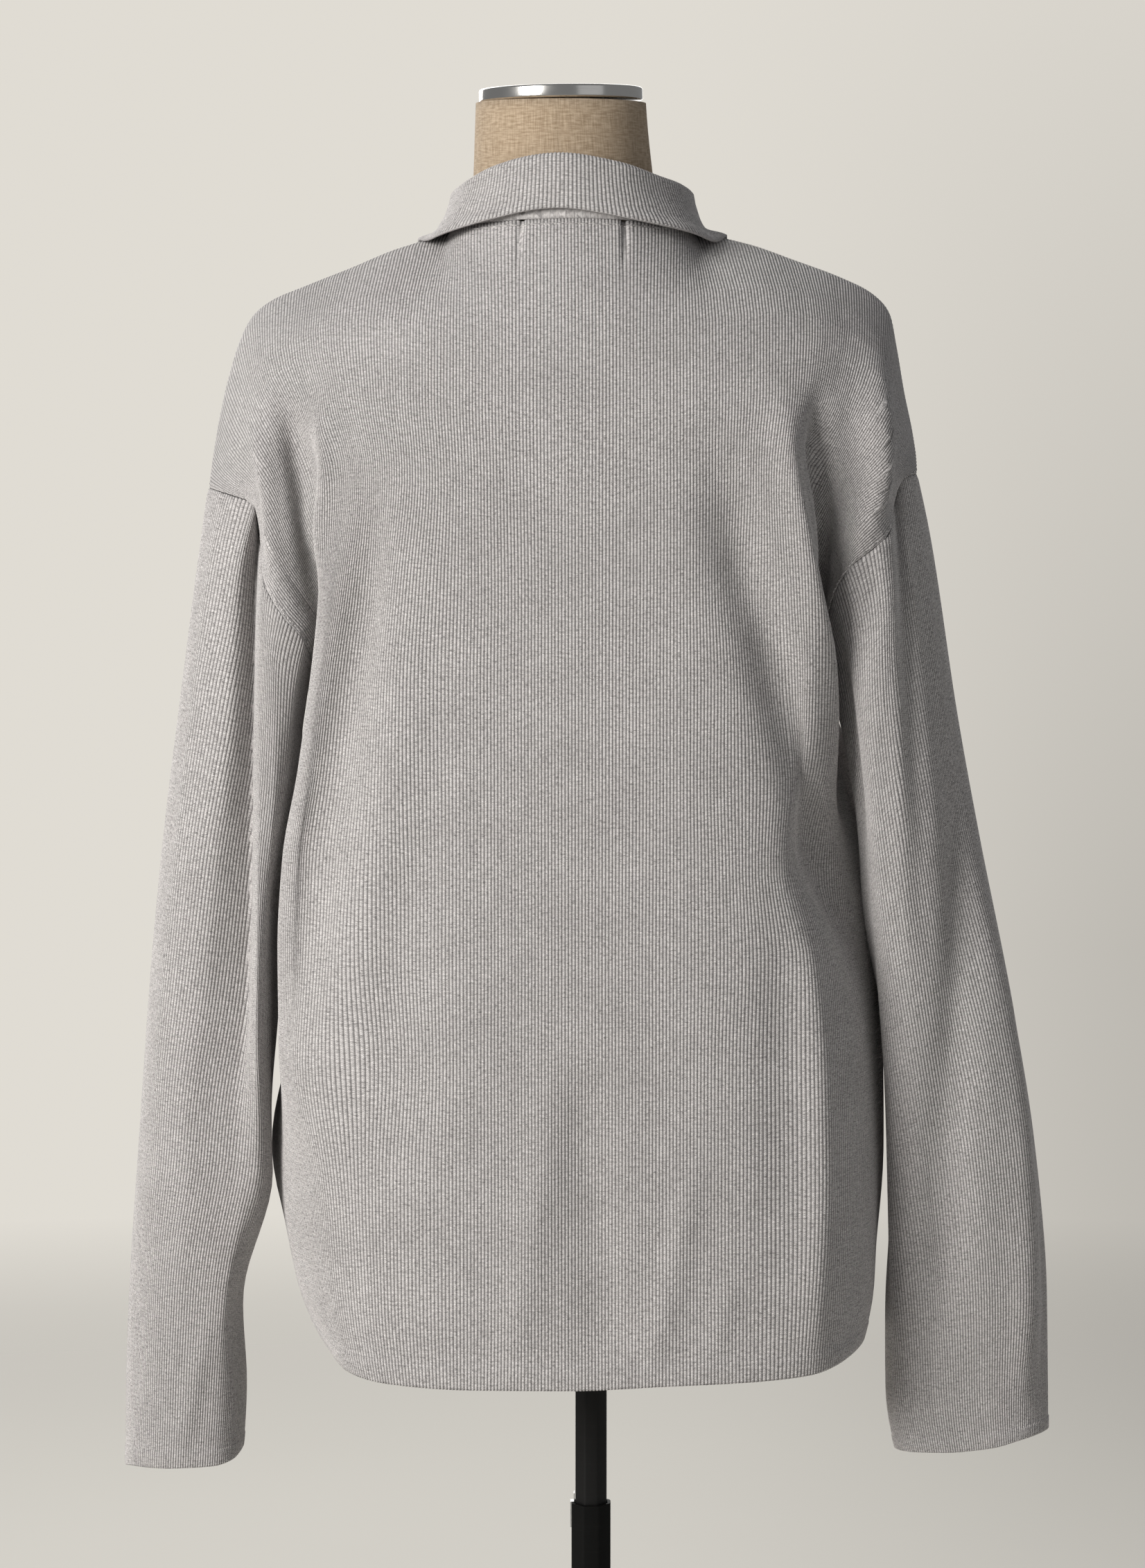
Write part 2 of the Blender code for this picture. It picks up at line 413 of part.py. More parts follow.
def rows_v():
    """Heights v of a panel's grid rows, with a double row at the top of the hem band."""
    body = [-428.0, -428.0 + HEM_BAND, -428.0 + HEM_BAND + 1.0]
    body += list(np.linspace(-395.0, 0.0, ROWS_BODY))
    return np.array(body), np.array(ARM_V)


def panel_grid(sections, edges, top, s_cols):
    """Grid of points of a panel, rows from the hem up and columns along s_cols.

    edges gives the armhole tables to add at s = +1 and -1, top the table curves of the top edge.
    """
    v_low, v_high = rows_v()
    keys, curves = [], []
    for v, points in sections:
        points = list(points)
        if v > 0:
            for s_end, table in edges:
                points.append((s_end, *(table_curve(table, [v])[0] / MM)))
        keys.append(v)
        curves.append(table_curve(points, s_cols))
    keys.append(250.0)
    top_row = np.zeros((len(s_cols), 3))
    for low, high, table in top:
        pick = (s_cols >= low - 1e-9) & (s_cols <= high + 1e-9)
        top_row[pick] = table_curve(table, s_cols[pick])
    curves.append(top_row)
    all_v = np.concatenate([v_low, v_high])
    grid = through(keys, np.array(curves).reshape(len(keys), -1), all_v)
    grid = grid.reshape(len(all_v), len(s_cols), 3)
    for s_end, table in edges:
        j = int(np.argmin(np.abs(s_cols - s_end)))
        side = [
            (v, *p[1:]) for v, points in sections for p in points if v <= 0 and abs(p[0] - s_end) < 1e-9
        ]
        grid[:len(v_low), j] = table_curve(side, v_low)
        grid[len(v_low) - 1:, j] = table_curve(table, np.concatenate([[0.0], v_high]))
    grid[-1] = top_row
    return grid


def sleeve_grid(back, front, rings):
    """Grid of a sleeve: rows from the armhole seam down, columns once round."""
    _, v_high = rows_v()
    v = np.concatenate([[0.0], v_high])
    up = table_curve(back, v)[::-1]
    down = table_curve(front, v)
    seam = np.concatenate([up, down[1:-1]])
    q = np.concatenate([0.5 * (1.0 - v[::-1] / 250.0), 0.5 * (1.0 + v[1:-1] / 250.0)])
    keys, curves = [0.0], [seam]
    for t, points in rings:
        before = [(p[0] - 1.0, *p[1:]) for p in points[-2:]]
        after = [(p[0] + 1.0, *p[1:]) for p in points[:2]]
        keys.append(t)
        curves.append(table_curve([*before, *points, *after], q))
    length = 620.0
    cuff = 1.0 - CUFF_BAND / length
    ts = np.concatenate([np.linspace(0.0, 0.955, RING_ROWS), [cuff - 0.0016, cuff, 1.0]])
    grid = through(keys, np.array(curves).reshape(len(keys), -1), ts)
    return grid.reshape(len(ts), len(seam), 3)


def front_centre(v, side):
    """Points of the front edge (s = 0) at heights v for the left (+1) or right (-1) front."""
    sections = FRONT_LEFT_SECTIONS if side > 0 else FRONT_RIGHT_SECTIONS
    neck = NECKLINE_FRONT_LEFT if side > 0 else NECKLINE_FRONT_RIGHT
    rows = [(key, *points[-1][1:]) for key, points in sections] + [(250.0, *neck[-1][1:])]
    return table_curve(rows, v)


def band_grid(side):
    """Grid of a button band, from its panel's edge across the centre front."""
    v_low, v_high = rows_v()
    v = np.concatenate([v_low, v_high])
    edge = front_centre(v, side)
    reach = 2 * BAND_HALF - 0.7
    columns = [edge + np.array([-side * reach * share * MM, 0.0, 0.0]) for share in (0.0, 0.5, 1.0)]
    grid = np.stack(columns, axis=1)
    grid[-1, 1:, 2] = grid[-1, 0, 2]
    return grid if side > 0 else grid[:, ::-1]


def collar_grid():
    """Grid of the collar's neck-side face: rows up the stand, over the fold and down the fall."""
    s_front = np.array([*NECK_COLUMNS_S, NECK_S])
    s_back = np.concatenate([s_front[::-1], -s_front[1:]])
    line = np.concatenate([
        table_curve(NECKLINE_FRONT_LEFT, s_front)[:-1],
        table_curve(signed(NECKLINE_BACK, -1), -s_back),
        table_curve(NECKLINE_FRONT_RIGHT, s_front)[::-1][1:],
    ])
    step = np.linalg.norm(np.diff(line, axis=0), axis=1)
    u = np.concatenate([[0.0], np.cumsum(step)]) / step.sum()
    table = np.array(COLLAR, float)
    stand, lean, fold, drop, flare = through(table[:, 0], table[:, 1:], u).T * MM
    out = line - np.array([*NECK_AXIS, 0.0]) * MM
    out[:, 2] = 0.0
    out /= np.linalg.norm(out, axis=1)[:, None]
    up = np.array([0.0, 0.0, 1.0])
    profile = [(0.0, 0.0), (-0.35, 0.35), (-0.75, 0.70), (-1.0, 0.92)]
    rows = [line + out * (lean * a)[:, None] + up * (stand * b)[:, None] for a, b in profile]
    top = line - out * lean[:, None] + up * (stand - 1.8 * MM)[:, None]
    half = fold * 0.5
    for angle in (40.0, 90.0, 140.0):
        a = math.radians(angle)
        rows.append(
            top + out * (half * (1 - math.cos(a)))[:, None] + up * (1.8 * MM * math.sin(a))
        )
    for share, ease in ((0.12, 0.06), (0.4, 0.34), (0.75, 0.72), (1.0, 1.0)):
        rows.append(top + out * (fold + flare * ease)[:, None] - up * (drop * share)[:, None])
    return np.array(rows)


# ---------------------------------------------------------------- meshes

def grid_normals(grid, wrap):
    """Unit normals of a grid, on the side its rows and columns turn right-handed round."""
    if wrap:
        across = np.roll(grid, -1, axis=1) - np.roll(grid, 1, axis=1)
    else:
        across = np.gradient(grid, axis=1)
    along = np.gradient(grid, axis=0)
    normal = np.cross(across, along)
    return normal / np.maximum(np.linalg.norm(normal, axis=2)[:, :, None], 1e-12)


def share_normals(panels):
    """Give the points that two or more panels share one common normal."""
    total = {}
    for grid, normal, _ in panels.values():
        for p, n in zip(grid.reshape(-1, 3), normal.reshape(-1, 3)):
            key = tuple(np.round(p, 6))
            total[key] = total.get(key, 0.0) + n
    counts = {}
    for grid, _, _ in panels.values():
        for key in {tuple(k) for k in np.round(grid.reshape(-1, 3), 6)}:
            counts[key] = counts.get(key, 0) + 1
    for grid, normal, _ in panels.values():
        for i in range(grid.shape[0]):
            for j in range(grid.shape[1]):
                key = tuple(np.round(grid[i, j], 6))
                if counts[key] > 1:
                    n = total[key]
                    normal[i, j] = n / np.linalg.norm(n)


def edge_view(grid, side):
    """The grid turned so that its first row is the named edge."""
    return {"low": grid, "high": grid[::-1], "left": np.swapaxes(grid, 0, 1),
            "right": np.swapaxes(grid, 0, 1)[::-1]}[side]


def pull_back(grid, facing, side, gap):
    """Move one edge of a grid inward along the surface, square to the edge.

    facing is the cosine between the panel's own normal and the shared one, so a sharp
    meeting of two panels is pulled back further and keeps the same gap.
    """
    view, gap = edge_view(grid, side), gap / edge_view(facing, side)[0]
    edge, inner = view[0].copy(), view[1]
    run = np.gradient(edge, axis=0)
    run /= np.maximum(np.linalg.norm(run, axis=1)[:, None], 1e-12)
    way = inner - edge
    way -= run * np.sum(way * run, axis=1)[:, None]
    way /= np.maximum(np.linalg.norm(way, axis=1)[:, None], 1e-12)
    view[0] = edge + way * gap[:, None]


def surface_tree(grids):
    """Search tree over the faces of several grids whose normals face out."""
    verts, faces = [], []
    for grid, normal in grids:
        rows, cols, _ = grid.shape
        start = len(verts)
        verts += [Vector(p) for p in grid.reshape(-1, 3)]
        turn = np.dot(np.cross(grid[0, 1] - grid[0, 0], grid[1, 0] - grid[0, 0]), normal[0, 0]) > 0
        for i in range(rows - 1):
            for j in range(cols - 1):
                a = start + i * cols + j
                face = (a, a + 1, a + cols + 1, a + cols)
                faces.append(face if turn else face[::-1])
    return BVHTree.FromPolygons(verts, faces)


def closed_ring_grid(rings):
    """Grid of a stack of rings with its first column repeated, and its outward normals."""
    grid = np.concatenate([rings, rings[:, :1]], axis=1)
    normal = grid - grid.mean(axis=1, keepdims=True)
    return grid, normal


def lay_on(points, tree, clearance, across=None):
    """Lift the points that are nearer than the clearance off the surface they lie over.

    across holds a direction for each point along which it must not move.
    """
    for _ in range(4):
        for k, p in enumerate(points):
            near, normal, _, _ = tree.find_nearest(Vector(p))
            height = (Vector(p) - near).dot(normal)
            if height < clearance:
                way = np.array(normal)
                if across is not None:
                    way -= across[k] * np.dot(way, across[k])
                    way /= np.linalg.norm(way)
                points[k] = p + way * (clearance - height) / max(np.dot(way, normal), 0.3)


def new_object(name, verts, faces, material, smooth=True):
    """Object in the collection from points and faces, its normals turned outward."""
    mesh = bpy.data.meshes.new(name)
    mesh.from_pydata([tuple(v) for v in verts], [], faces)
    work = bmesh.new()
    work.from_mesh(mesh)
    bmesh.ops.recalc_face_normals(work, faces=work.faces)
    work.to_mesh(mesh)
    work.free()
    for face in mesh.polygons:
        face.use_smooth = smooth
    mesh.materials.append(material)
    obj = bpy.data.objects.new(name, mesh)
    bpy.data.collections["cardigan_on_form"].objects.link(obj)
    return obj


def wall_object(name, outer, normal, facing, material, wrap=False):
    """Closed wall between a grid and its copy one wall thickness under it."""
    rows, cols, _ = outer.shape
    inner = outer - normal * (WALL / np.maximum(facing, 0.6))[:, :, None]
    verts = np.concatenate([outer.reshape(-1, 3), inner.reshape(-1, 3)])
    low = rows * cols
    faces = []
    span = cols if wrap else cols - 1
    for i in range(rows - 1):
        for j in range(span):
            k = (j + 1) % cols
            a, b, c, d = i * cols + j, i * cols + k, (i + 1) * cols + k, (i + 1) * cols + j
            faces += [(a, b, c, d), (low + d, low + c, low + b, low + a)]
    rim = [(i * cols + j, i * cols + (j + 1) % cols) for i in (0, rows - 1) for j in range(span)]
    if not wrap:
        rim += [(i * cols + j, (i + 1) * cols + j) for j in (0, cols - 1) for i in range(rows - 1)]
    for a, b in rim:  # split by the shorter diagonal, so the faces of two panels at a seam match
        first = np.linalg.norm(verts[a] - verts[low + b]) < np.linalg.norm(verts[b] - verts[low + a])
        if first:
            faces += [(a, low + a, low + b), (a, low + b, b)]
        else:
            faces += [(a, low + a, b), (low + a, low + b, b)]
    return new_object(name, verts, faces, material)


def stack_object(name, rings, material, smooth=True):
    """Closed body through a stack of rings with the same number of points."""
    count = len(rings[0])
    verts = [p for ring in rings for p in ring]
    faces = []
    for i in range(len(rings) - 1):
        for j in range(count):
            k = (j + 1) % count
            faces.append((i * count + j, i * count + k, (i + 1) * count + k, (i + 1) * count + j))
    faces.append(tuple(reversed(range(count))))
    faces.append(tuple((len(rings) - 1) * count + j for j in range(count)))
    return new_object(name, verts, faces, material, smooth)


def octagon(across_flats, z):
    """Corners of a level regular octagon with a flat across each axis."""
    radius = across_flats / 2 / math.cos(math.pi / 8)
    angles = [math.pi / 8 + k * math.pi / 4 for k in range(8)]
    return [(radius * math.cos(a), radius * math.sin(a), z) for a in angles]


def octagonal_tube(name, outer_af, inner_af, z_low, z_high, material):
    """Closed octagonal tube between two heights."""
    rings = [octagon(outer_af, z_low), octagon(outer_af, z_high),
             octagon(inner_af, z_high), octagon(inner_af, z_low)]
    verts = [p for ring in rings for p in ring]
    faces = []
    for i in range(4):
        for j in range(8):
            k, nxt = (j + 1) % 8, (i + 1) % 4
            faces.append((i * 8 + j, i * 8 + k, nxt * 8 + k, nxt * 8 + j))
    return new_object(name, verts, faces, material, smooth=False)


def lathe(name, profile, segments, material, location=(0.0, 0.0, 0.0), rotation=(0.0, 0.0, 0.0)):
    """Body turned from a profile of (radius, height) pairs that starts and ends on the axis."""
    turns = [2 * math.pi * j / segments for j in range(segments)]
    rings = []
    for radius, height in profile:
        if radius > 0.0:
            rings.append([(radius * math.cos(t), radius * math.sin(t), height) for t in turns])
        else:
            rings.append([(0.0, 0.0, height)])
    verts, starts = [], []
    for ring in rings:
        starts.append(len(verts))
        verts += ring
    faces = []
    for a, b in zip(range(len(rings) - 1), range(1, len(rings))):
        for j in range(segments):
            k = (j + 1) % segments
            if len(rings[a]) == 1:
                faces.append((starts[a], starts[b] + j, starts[b] + k))
            elif len(rings[b]) == 1:
                faces.append((starts[a] + j, starts[a] + k, starts[b]))
            else:
                faces.append((starts[a] + j, starts[a] + k, starts[b] + k, starts[b] + j))
    obj = new_object(name, verts, faces, material, smooth=False)
    obj.location = location
    obj.rotation_euler = rotation
    return obj


# ---------------------------------------------------------------- the pieces

def make_materials():
    """One material for each colour of the table."""
    made = {}
    for name, (colour, roughness, metallic) in COLOURS.items():
        material = bpy.data.materials.new(name)
        material.use_nodes = True
        shader = material.node_tree.nodes["Principled BSDF"]
        shader.inputs["Base Color"].default_value = colour
        shader.inputs["Roughness"].default_value = roughness
        shader.inputs["Metallic"].default_value = metallic
        made[name] = material
    return made


def own_material(made, slot, node):
    """Copy of a slot's material under the node's name."""
    copy = made[slot].copy()
    copy.name = node
    return copy


def raise_band(grid, normal, rows):
    """Lift the rows of a knitted-in edge band proud of the panel."""
    for i in rows:
        grid[i] += normal[i] * BAND_STEP


def build_cloth(made):
    """Build the knitted pieces: panels, sleeves, collar and bands, a seam gap apart."""
    shoulder = np.array(SHOULDER_S)
    neck = np.array(NECK_COLUMNS_S)
    s_back = np.concatenate([-shoulder[::-1], -neck[:0:-1], neck, shoulder])
    s_front = np.concatenate([neck, shoulder])

    back = panel_grid(
        BACK_SECTIONS, ((1.0, ARMHOLE_BACK_LEFT), (-1.0, ARMHOLE_BACK_RIGHT)),
        ((-1.0, -NECK_S, signed(SHOULDER_RIGHT, -1)), (NECK_S, 1.0, SHOULDER_LEFT),
         (-NECK_S + 1e-6, NECK_S - 1e-6, NECKLINE_BACK)), s_back)
    fronts = {}
    for side, sections, edge, seam, neckline in (
        (1, FRONT_LEFT_SECTIONS, ARMHOLE_FRONT_LEFT, SHOULDER_LEFT, NECKLINE_FRONT_LEFT),
        (-1, FRONT_RIGHT_SECTIONS, ARMHOLE_FRONT_RIGHT, SHOULDER_RIGHT, NECKLINE_FRONT_RIGHT),
    ):
        fronts[side] = panel_grid(
            sections, ((1.0, edge),),
            ((0.0, NECK_S - 1e-6, neckline), (NECK_S, 1.0, seam)), s_front)
    # Rows run up; columns run so that the outer face has the normal away from the form.
    grids = {
        "back": back[:, ::-1],
        "front_left": fronts[1],
        "front_right": fronts[-1][:, ::-1],
        "sleeve_left": sleeve_grid(ARMHOLE_BACK_LEFT, ARMHOLE_FRONT_LEFT, SLEEVE_LEFT_RINGS),
        "sleeve_right": sleeve_grid(ARMHOLE_BACK_RIGHT, ARMHOLE_FRONT_RIGHT, SLEEVE_RIGHT_RINGS)[:, ::-1],
        "collar": collar_grid(),
        "band_left": band_grid(1),
        "band_right": band_grid(-1),
    }
    rings = np.array(form_rings())
    form_tree = surface_tree([closed_ring_grid(rings)])
    for name in ("back", "front_left", "front_right"):
        for row in grids[name]:
            lay_on(row, form_tree, WALL + FORM_CLEAR)
    panels = {}
    for name, grid in grids.items():
        wrap = name.startswith("sleeve")
        normal = grid_normals(grid, wrap)
        outward = outward_sign(name, grid, normal)
        panels[name] = [grid.copy(), normal * outward, wrap]
    tree = surface_tree([panels[name][:2] for name in ("back", "front_left", "front_right")])
    collar = panels["collar"]
    out = collar[0][0] - np.array([*NECK_AXIS, 0.0]) * MM
    across = np.stack([-out[:, 1], out[:, 0], np.zeros(len(out))], axis=1)
    across /= np.linalg.norm(across, axis=1)[:, None]
    for row in collar[0][-FALL_ROWS:]:
        lay_on(row, tree, FALL_CLEAR, across)
    collar[1] = grid_normals(collar[0], False)
    collar[1] *= outward_sign("collar", *collar[:2])
    own = {name: panel[1].copy() for name, panel in panels.items()}
    share_normals(panels)
    facing = {
        name: np.clip(np.sum(own[name] * panel[1], axis=2), 0.25, 1.0) for name, panel in panels.items()
    }
    for name, rows in (("back", 2), ("front_left", 2), ("front_right", 2)):
        raise_band(panels[name][0], panels[name][1], range(rows))
    for name in ("sleeve_left", "sleeve_right"):
        raise_band(panels[name][0], panels[name][1], (-1, -2))
    half = SEAM_GAP / 2
    for name, sides in (
        ("back", ("left", "right", "high")), ("front_left", ("left", "right", "high")),
        ("front_right", ("left", "right", "high")), ("sleeve_left", ("low",)), ("sleeve_right", ("low",)),
        ("collar", ("low",)), ("band_left", ("left",)), ("band_right", ("right",)),
    ):
        for side in sides:
            pull_back(panels[name][0], facing[name], side, half)
    for name, (grid, normal, wrap) in panels.items():
        wall_object(name, grid, normal, facing[name], own_material(made, "knit", name), wrap)


def outward_sign(name, grid, normal):
    """+1 or -1 so that the normal points away from the inside of the piece."""
    i, j = grid.shape[0] // 2, grid.shape[1] // 2
    if name.startswith("sleeve"):
        away = grid[i, 0] - grid[i].mean(axis=0)
        return 1.0 if np.dot(away, normal[i, 0]) > 0 else -1.0
    if name == "collar":
        away = grid[1, j] - np.array([*NECK_AXIS, 0.0]) * MM
        return 1.0 if np.dot(away[:2], normal[1, j][:2]) > 0 else -1.0
    away = grid[i, j] - np.array([0.0, 0.0, grid[i, j][2]])
    return 1.0 if np.dot(away, normal[i, j]) > 0 else -1.0


def build_buttons(made):
    """Build the buttons down the outer band, each square to the cloth."""
    recess = 0.55
    profile = [
        (0.0, 0.0), (BUTTON_R * 0.86, 0.0), (BUTTON_R, BUTTON_THICK * 0.34),
        (BUTTON_R * 0.98, BUTTON_THICK * 0.8), (BUTTON_R * 0.88, BUTTON_THICK),
        (BUTTON_R * 0.72, BUTTON_THICK * 0.86), (BUTTON_R * 0.62, BUTTON_THICK * recess),
        (0.0, BUTTON_THICK * recess),
    ]
    v = np.linspace(-428.0, 250.0, 240)
    edge = front_centre(v, 1)
    for number, z in enumerate(BUTTON_Z, start=1):
        y = float(np.interp(z, edge[:, 2], edge[:, 1]))
        above, below = (float(np.interp(z + dz, edge[:, 2], edge[:, 1])) for dz in (0.01, -0.01))
        slope = (above - below) / 0.02
        name = f"button_{number}"
        lathe(name, profile, 18, own_material(made, "button", name),
              location=(0.0, y - BUTTON_LIFT, z), rotation=(math.pi / 2 - math.atan(slope), 0.0, 0.0))


def form_rings():
    """Rings of the dress form's surface from its foot to the top of its neck."""
    segments = 32
    table = np.array(FORM, float)
    z = np.unique(np.concatenate([table[:, 0], np.linspace(776, 1300, 9)]))
    values = through(table[:, 0], table[:, 1:], z)
    rings = []
    for height, (cx, cy, a, b, power) in zip(z, values):
        ring = []
        for k in range(segments):
            t = 2 * math.pi * k / segments
            c, s = math.cos(t), math.sin(t)
            ring.append((
                (cx + a * math.copysign(abs(c) ** (2 / power), c)) * MM,
                (cy + b * math.copysign(abs(s) ** (2 / power), s)) * MM,
                height * MM,
            ))
        rings.append(ring)
    return rings


def build_form(made):
    """Build the linen-covered form from its rings."""
    stack_object("form", form_rings(), own_material(made, "linen", "form"))


def build_neck_cap(made):
    """Build the disc that lies on the form's neck."""
    edge = 1.0 * MM
    profile = [
        (0.0, 0.0), (CAP_R - edge, 0.0), (CAP_R, edge), (CAP_R, CAP_THICK - edge),
        (CAP_R - edge, CAP_THICK), (0.0, CAP_THICK),
    ]
    z = FORM[-1][0] * MM + 0.3 * MM + CAP_R * math.sin(CAP_TILT)
    lathe("neck_cap", profile, 44, own_material(made, "chrome", "neck_cap"),
          location=(FORM[-1][1] * MM, 0.0, z), rotation=(0.0, CAP_TILT, 0.0))


def build_stand(made):
    """Build the two tubes, the catch and the round foot."""
    octagonal_tube("pole_upper", TUBE_UPPER_AF, TUBE_UPPER_AF - 2 * TUBE_UPPER_WALL, UPPER_TUBE_FOOT_Z,
                   FORM_FOOT_Z - 0.3 * MM, own_material(made, "black_metal", "pole_upper"))
    octagonal_tube("pole_lower", TUBE_LOWER_AF, TUBE_LOWER_BORE_AF, BASE_THICK + 0.3 * MM, RIM_Z,
                   own_material(made, "black_metal", "pole_lower"))
    build_catch(made)
    socket_bore = TUBE_LOWER_AF / 2 / math.cos(math.pi / 8) + 0.3 * MM
    profile = [
        (0.0, 0.0), (BASE_R - 0.002, 0.0), (BASE_R, 0.002), (BASE_R, BASE_THICK - 0.003),
        (BASE_R - 0.003, BASE_THICK), (SOCKET_R + 0.002, BASE_THICK), (SOCKET_R, BASE_THICK + 0.002),
        (SOCKET_R, SOCKET_TOP_Z - 0.001), (SOCKET_R - 0.001, SOCKET_TOP_Z), (socket_bore, SOCKET_TOP_Z),
        (socket_bore, BASE_THICK), (0.0, BASE_THICK),
    ]
    lathe("base", profile, 44, own_material(made, "black_metal", "base"))


def build_catch(made):
    """Steel clip over the lower tube's rim: outer leg, bridge, and a lip beside the upper tube."""
    out = TUBE_LOWER_AF / 2 + 0.1 * MM
    lip = TUBE_UPPER_AF / 2 + 0.45 * MM
    thick, half_width = 0.6 * MM, 3.2 * MM
    top = RIM_Z + 0.1 * MM
    outline = [
        (out, RIM_Z - 0.016), (out + thick, RIM_Z - 0.016), (out + thick, top + thick),
        (lip + thick, top + thick), (lip + thick, top + 6.0 * MM), (lip, top + 6.0 * MM),
        (lip, top), (out, top),
    ]
    verts = [(x, -half_width, z) for x, z in outline] + [(x, half_width, z) for x, z in outline]
    count = len(outline)
    faces = [tuple(range(count)), tuple(reversed(range(count, 2 * count)))]
    faces += [(j, (j + 1) % count, count + (j + 1) % count, count + j) for j in range(count)]
    new_object("pole_catch", verts, faces, own_material(made, "steel", "pole_catch"), smooth=False)


def main():
    for obj in list(bpy.data.objects):
        bpy.data.objects.remove(obj, do_unlink=True)
    collection = bpy.data.collections.new("cardigan_on_form")
    bpy.context.scene.collection.children.link(collection)
    made = make_materials()
    build_cloth(made)
    build_buttons(made)
    build_form(made)
    build_neck_cap(made)
    build_stand(made)


main()
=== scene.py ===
"""Looks of a fine-rib cardigan on a limbless dress form with a telescoping pole.

Metres, +Z up, the garment's back towards +Y and its wearer's left at +X. Each
knitted piece is a thin shell on its solid's form, with its wales as real ribs.
"""

from __future__ import annotations

import logging
import math
from dataclasses import dataclass
from enum import Enum

import bmesh
import bpy
import numpy as np
from bpy.types import Material, Node, NodeSocket, Object
from mathutils import Matrix, Vector
from mathutils.bvhtree import BVHTree
from numpy import ndarray

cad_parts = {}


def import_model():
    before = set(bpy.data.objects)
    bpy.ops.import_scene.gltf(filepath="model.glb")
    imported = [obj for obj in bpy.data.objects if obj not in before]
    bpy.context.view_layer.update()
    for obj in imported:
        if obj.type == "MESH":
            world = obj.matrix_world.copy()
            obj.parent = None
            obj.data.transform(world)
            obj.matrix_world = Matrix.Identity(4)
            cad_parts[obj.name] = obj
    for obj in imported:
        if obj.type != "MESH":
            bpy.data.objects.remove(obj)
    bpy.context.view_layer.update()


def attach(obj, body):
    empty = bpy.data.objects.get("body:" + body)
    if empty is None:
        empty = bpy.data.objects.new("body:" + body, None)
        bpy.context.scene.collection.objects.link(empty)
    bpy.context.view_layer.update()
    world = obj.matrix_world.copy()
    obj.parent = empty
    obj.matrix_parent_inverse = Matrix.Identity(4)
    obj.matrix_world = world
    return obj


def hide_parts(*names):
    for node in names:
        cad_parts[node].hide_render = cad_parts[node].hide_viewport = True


MM = 0.001
NECK_S = 0.293  # Where the neck points are, as a share of a panel's half width.
HALF_WIDTH = 300.0  # Flat half width of the body, mm.
HEM, TOP = -428.0, 250.0  # Flat heights of the panels' hem and top edge, mm.
TURN = 2 * math.pi
COLUMNS = 4  # Columns of points for one wale.
Row = tuple[float, ...]
Table = tuple[Row, ...]
Sections = tuple[tuple[float, Table], ...]
log = logging.getLogger("cardigan")

# Armhole seams, mm. v is 250 at the shoulder point and 0 at the underarm.
ARMHOLE_BACK_LEFT: Table = (
    # v, x, y, z
    (0, 176, 0, 1128), (58, 173, 50, 1144), (76, 176, 69, 1155), (96, 188, 74, 1169),
    (124, 202, 64, 1192), (164, 206, 30, 1219), (190, 207.5, 44, 1237), (210, 222, 35, 1243),
    (250, 240.5, -5, 1247),
)
ARMHOLE_BACK_RIGHT: Table = (
    (0, -157, 0, 1120), (61, -145, 42, 1160), (89, -148, 60, 1182), (112, -157, 71, 1199),
    (133, -174, 71, 1213), (149, -184, 62, 1222), (178, -187, 43, 1239), (198, -191, 41, 1252),
    (218, -199, 29, 1256), (250, -204, -5, 1256),
)
ARMHOLE_FRONT_LEFT: Table = (
    (0, 176, 0, 1128), (50, 181, -38, 1141), (92, 189, -61, 1165), (134, 203, -67, 1195),
    (172, 220, -58, 1220), (208, 233, -38, 1236), (250, 240.5, -5, 1247),
)
ARMHOLE_FRONT_RIGHT: Table = (
    (0, -157, 0, 1120), (50, -161, -38, 1134), (92, -169, -61, 1162), (134, -181, -67, 1196),
    (172, -193, -58, 1226), (208, -201, -38, 1245), (250, -204, -5, 1256),
)

# Top edges of the panels, mm: the shoulder seam from the shoulder point to the neck point.
SHOULDER_LEFT: Table = (
    # s, x, y, z
    (1, 240.5, -5, 1247), (0.92, 236, -5, 1279), (0.84, 230, -5, 1310), (0.77, 221, -5, 1341),
    (0.73, 212.5, -5, 1357), (0.68, 200, -5, 1367), (0.6, 178, -5, 1376), (0.5, 151, -5, 1386.5),
    (0.4, 121, -5, 1399), (NECK_S, 89, -5, 1408),
)
SHOULDER_RIGHT: Table = (
    (1, -204, -5, 1256), (0.92, -200, -5, 1285), (0.84, -194, -5, 1314), (0.77, -189.5, -5, 1342),
    (0.73, -186.5, -5, 1359), (0.68, -176, -5, 1371), (0.6, -157, -5, 1380.5), (0.5, -127, -5, 1391.5),
    (0.4, -97, -5, 1402), (NECK_S, -64, -5, 1409),
)
NECKLINE_BACK: Table = (
    # s, x, y, z
    (NECK_S, 89, -5, 1408), (0.24, 83.5, 25, 1409), (0.17, 66, 50, 1411), (0.09, 40, 67.5, 1412.5),
    (0, 12.5, 72, 1413), (-0.09, -15, 67.5, 1412.5), (-0.17, -41, 50, 1411), (-0.24, -58.5, 25, 1410),
    (-NECK_S, -64, -5, 1409),
)
NECKLINE_FRONT_LEFT: Table = (
    (NECK_S, 89, -5, 1408), (0.24, 87, -30, 1401), (0.17, 77, -58, 1384), (0.09, 52, -83, 1359),
    (0, 15, -96, 1342),
)
NECKLINE_FRONT_RIGHT: Table = (
    (NECK_S, -64, -5, 1409), (0.24, -62, -30, 1402), (0.17, -53, -58, 1384), (0.09, -36, -82, 1359),
    (0, -15, -93.5, 1342),
)

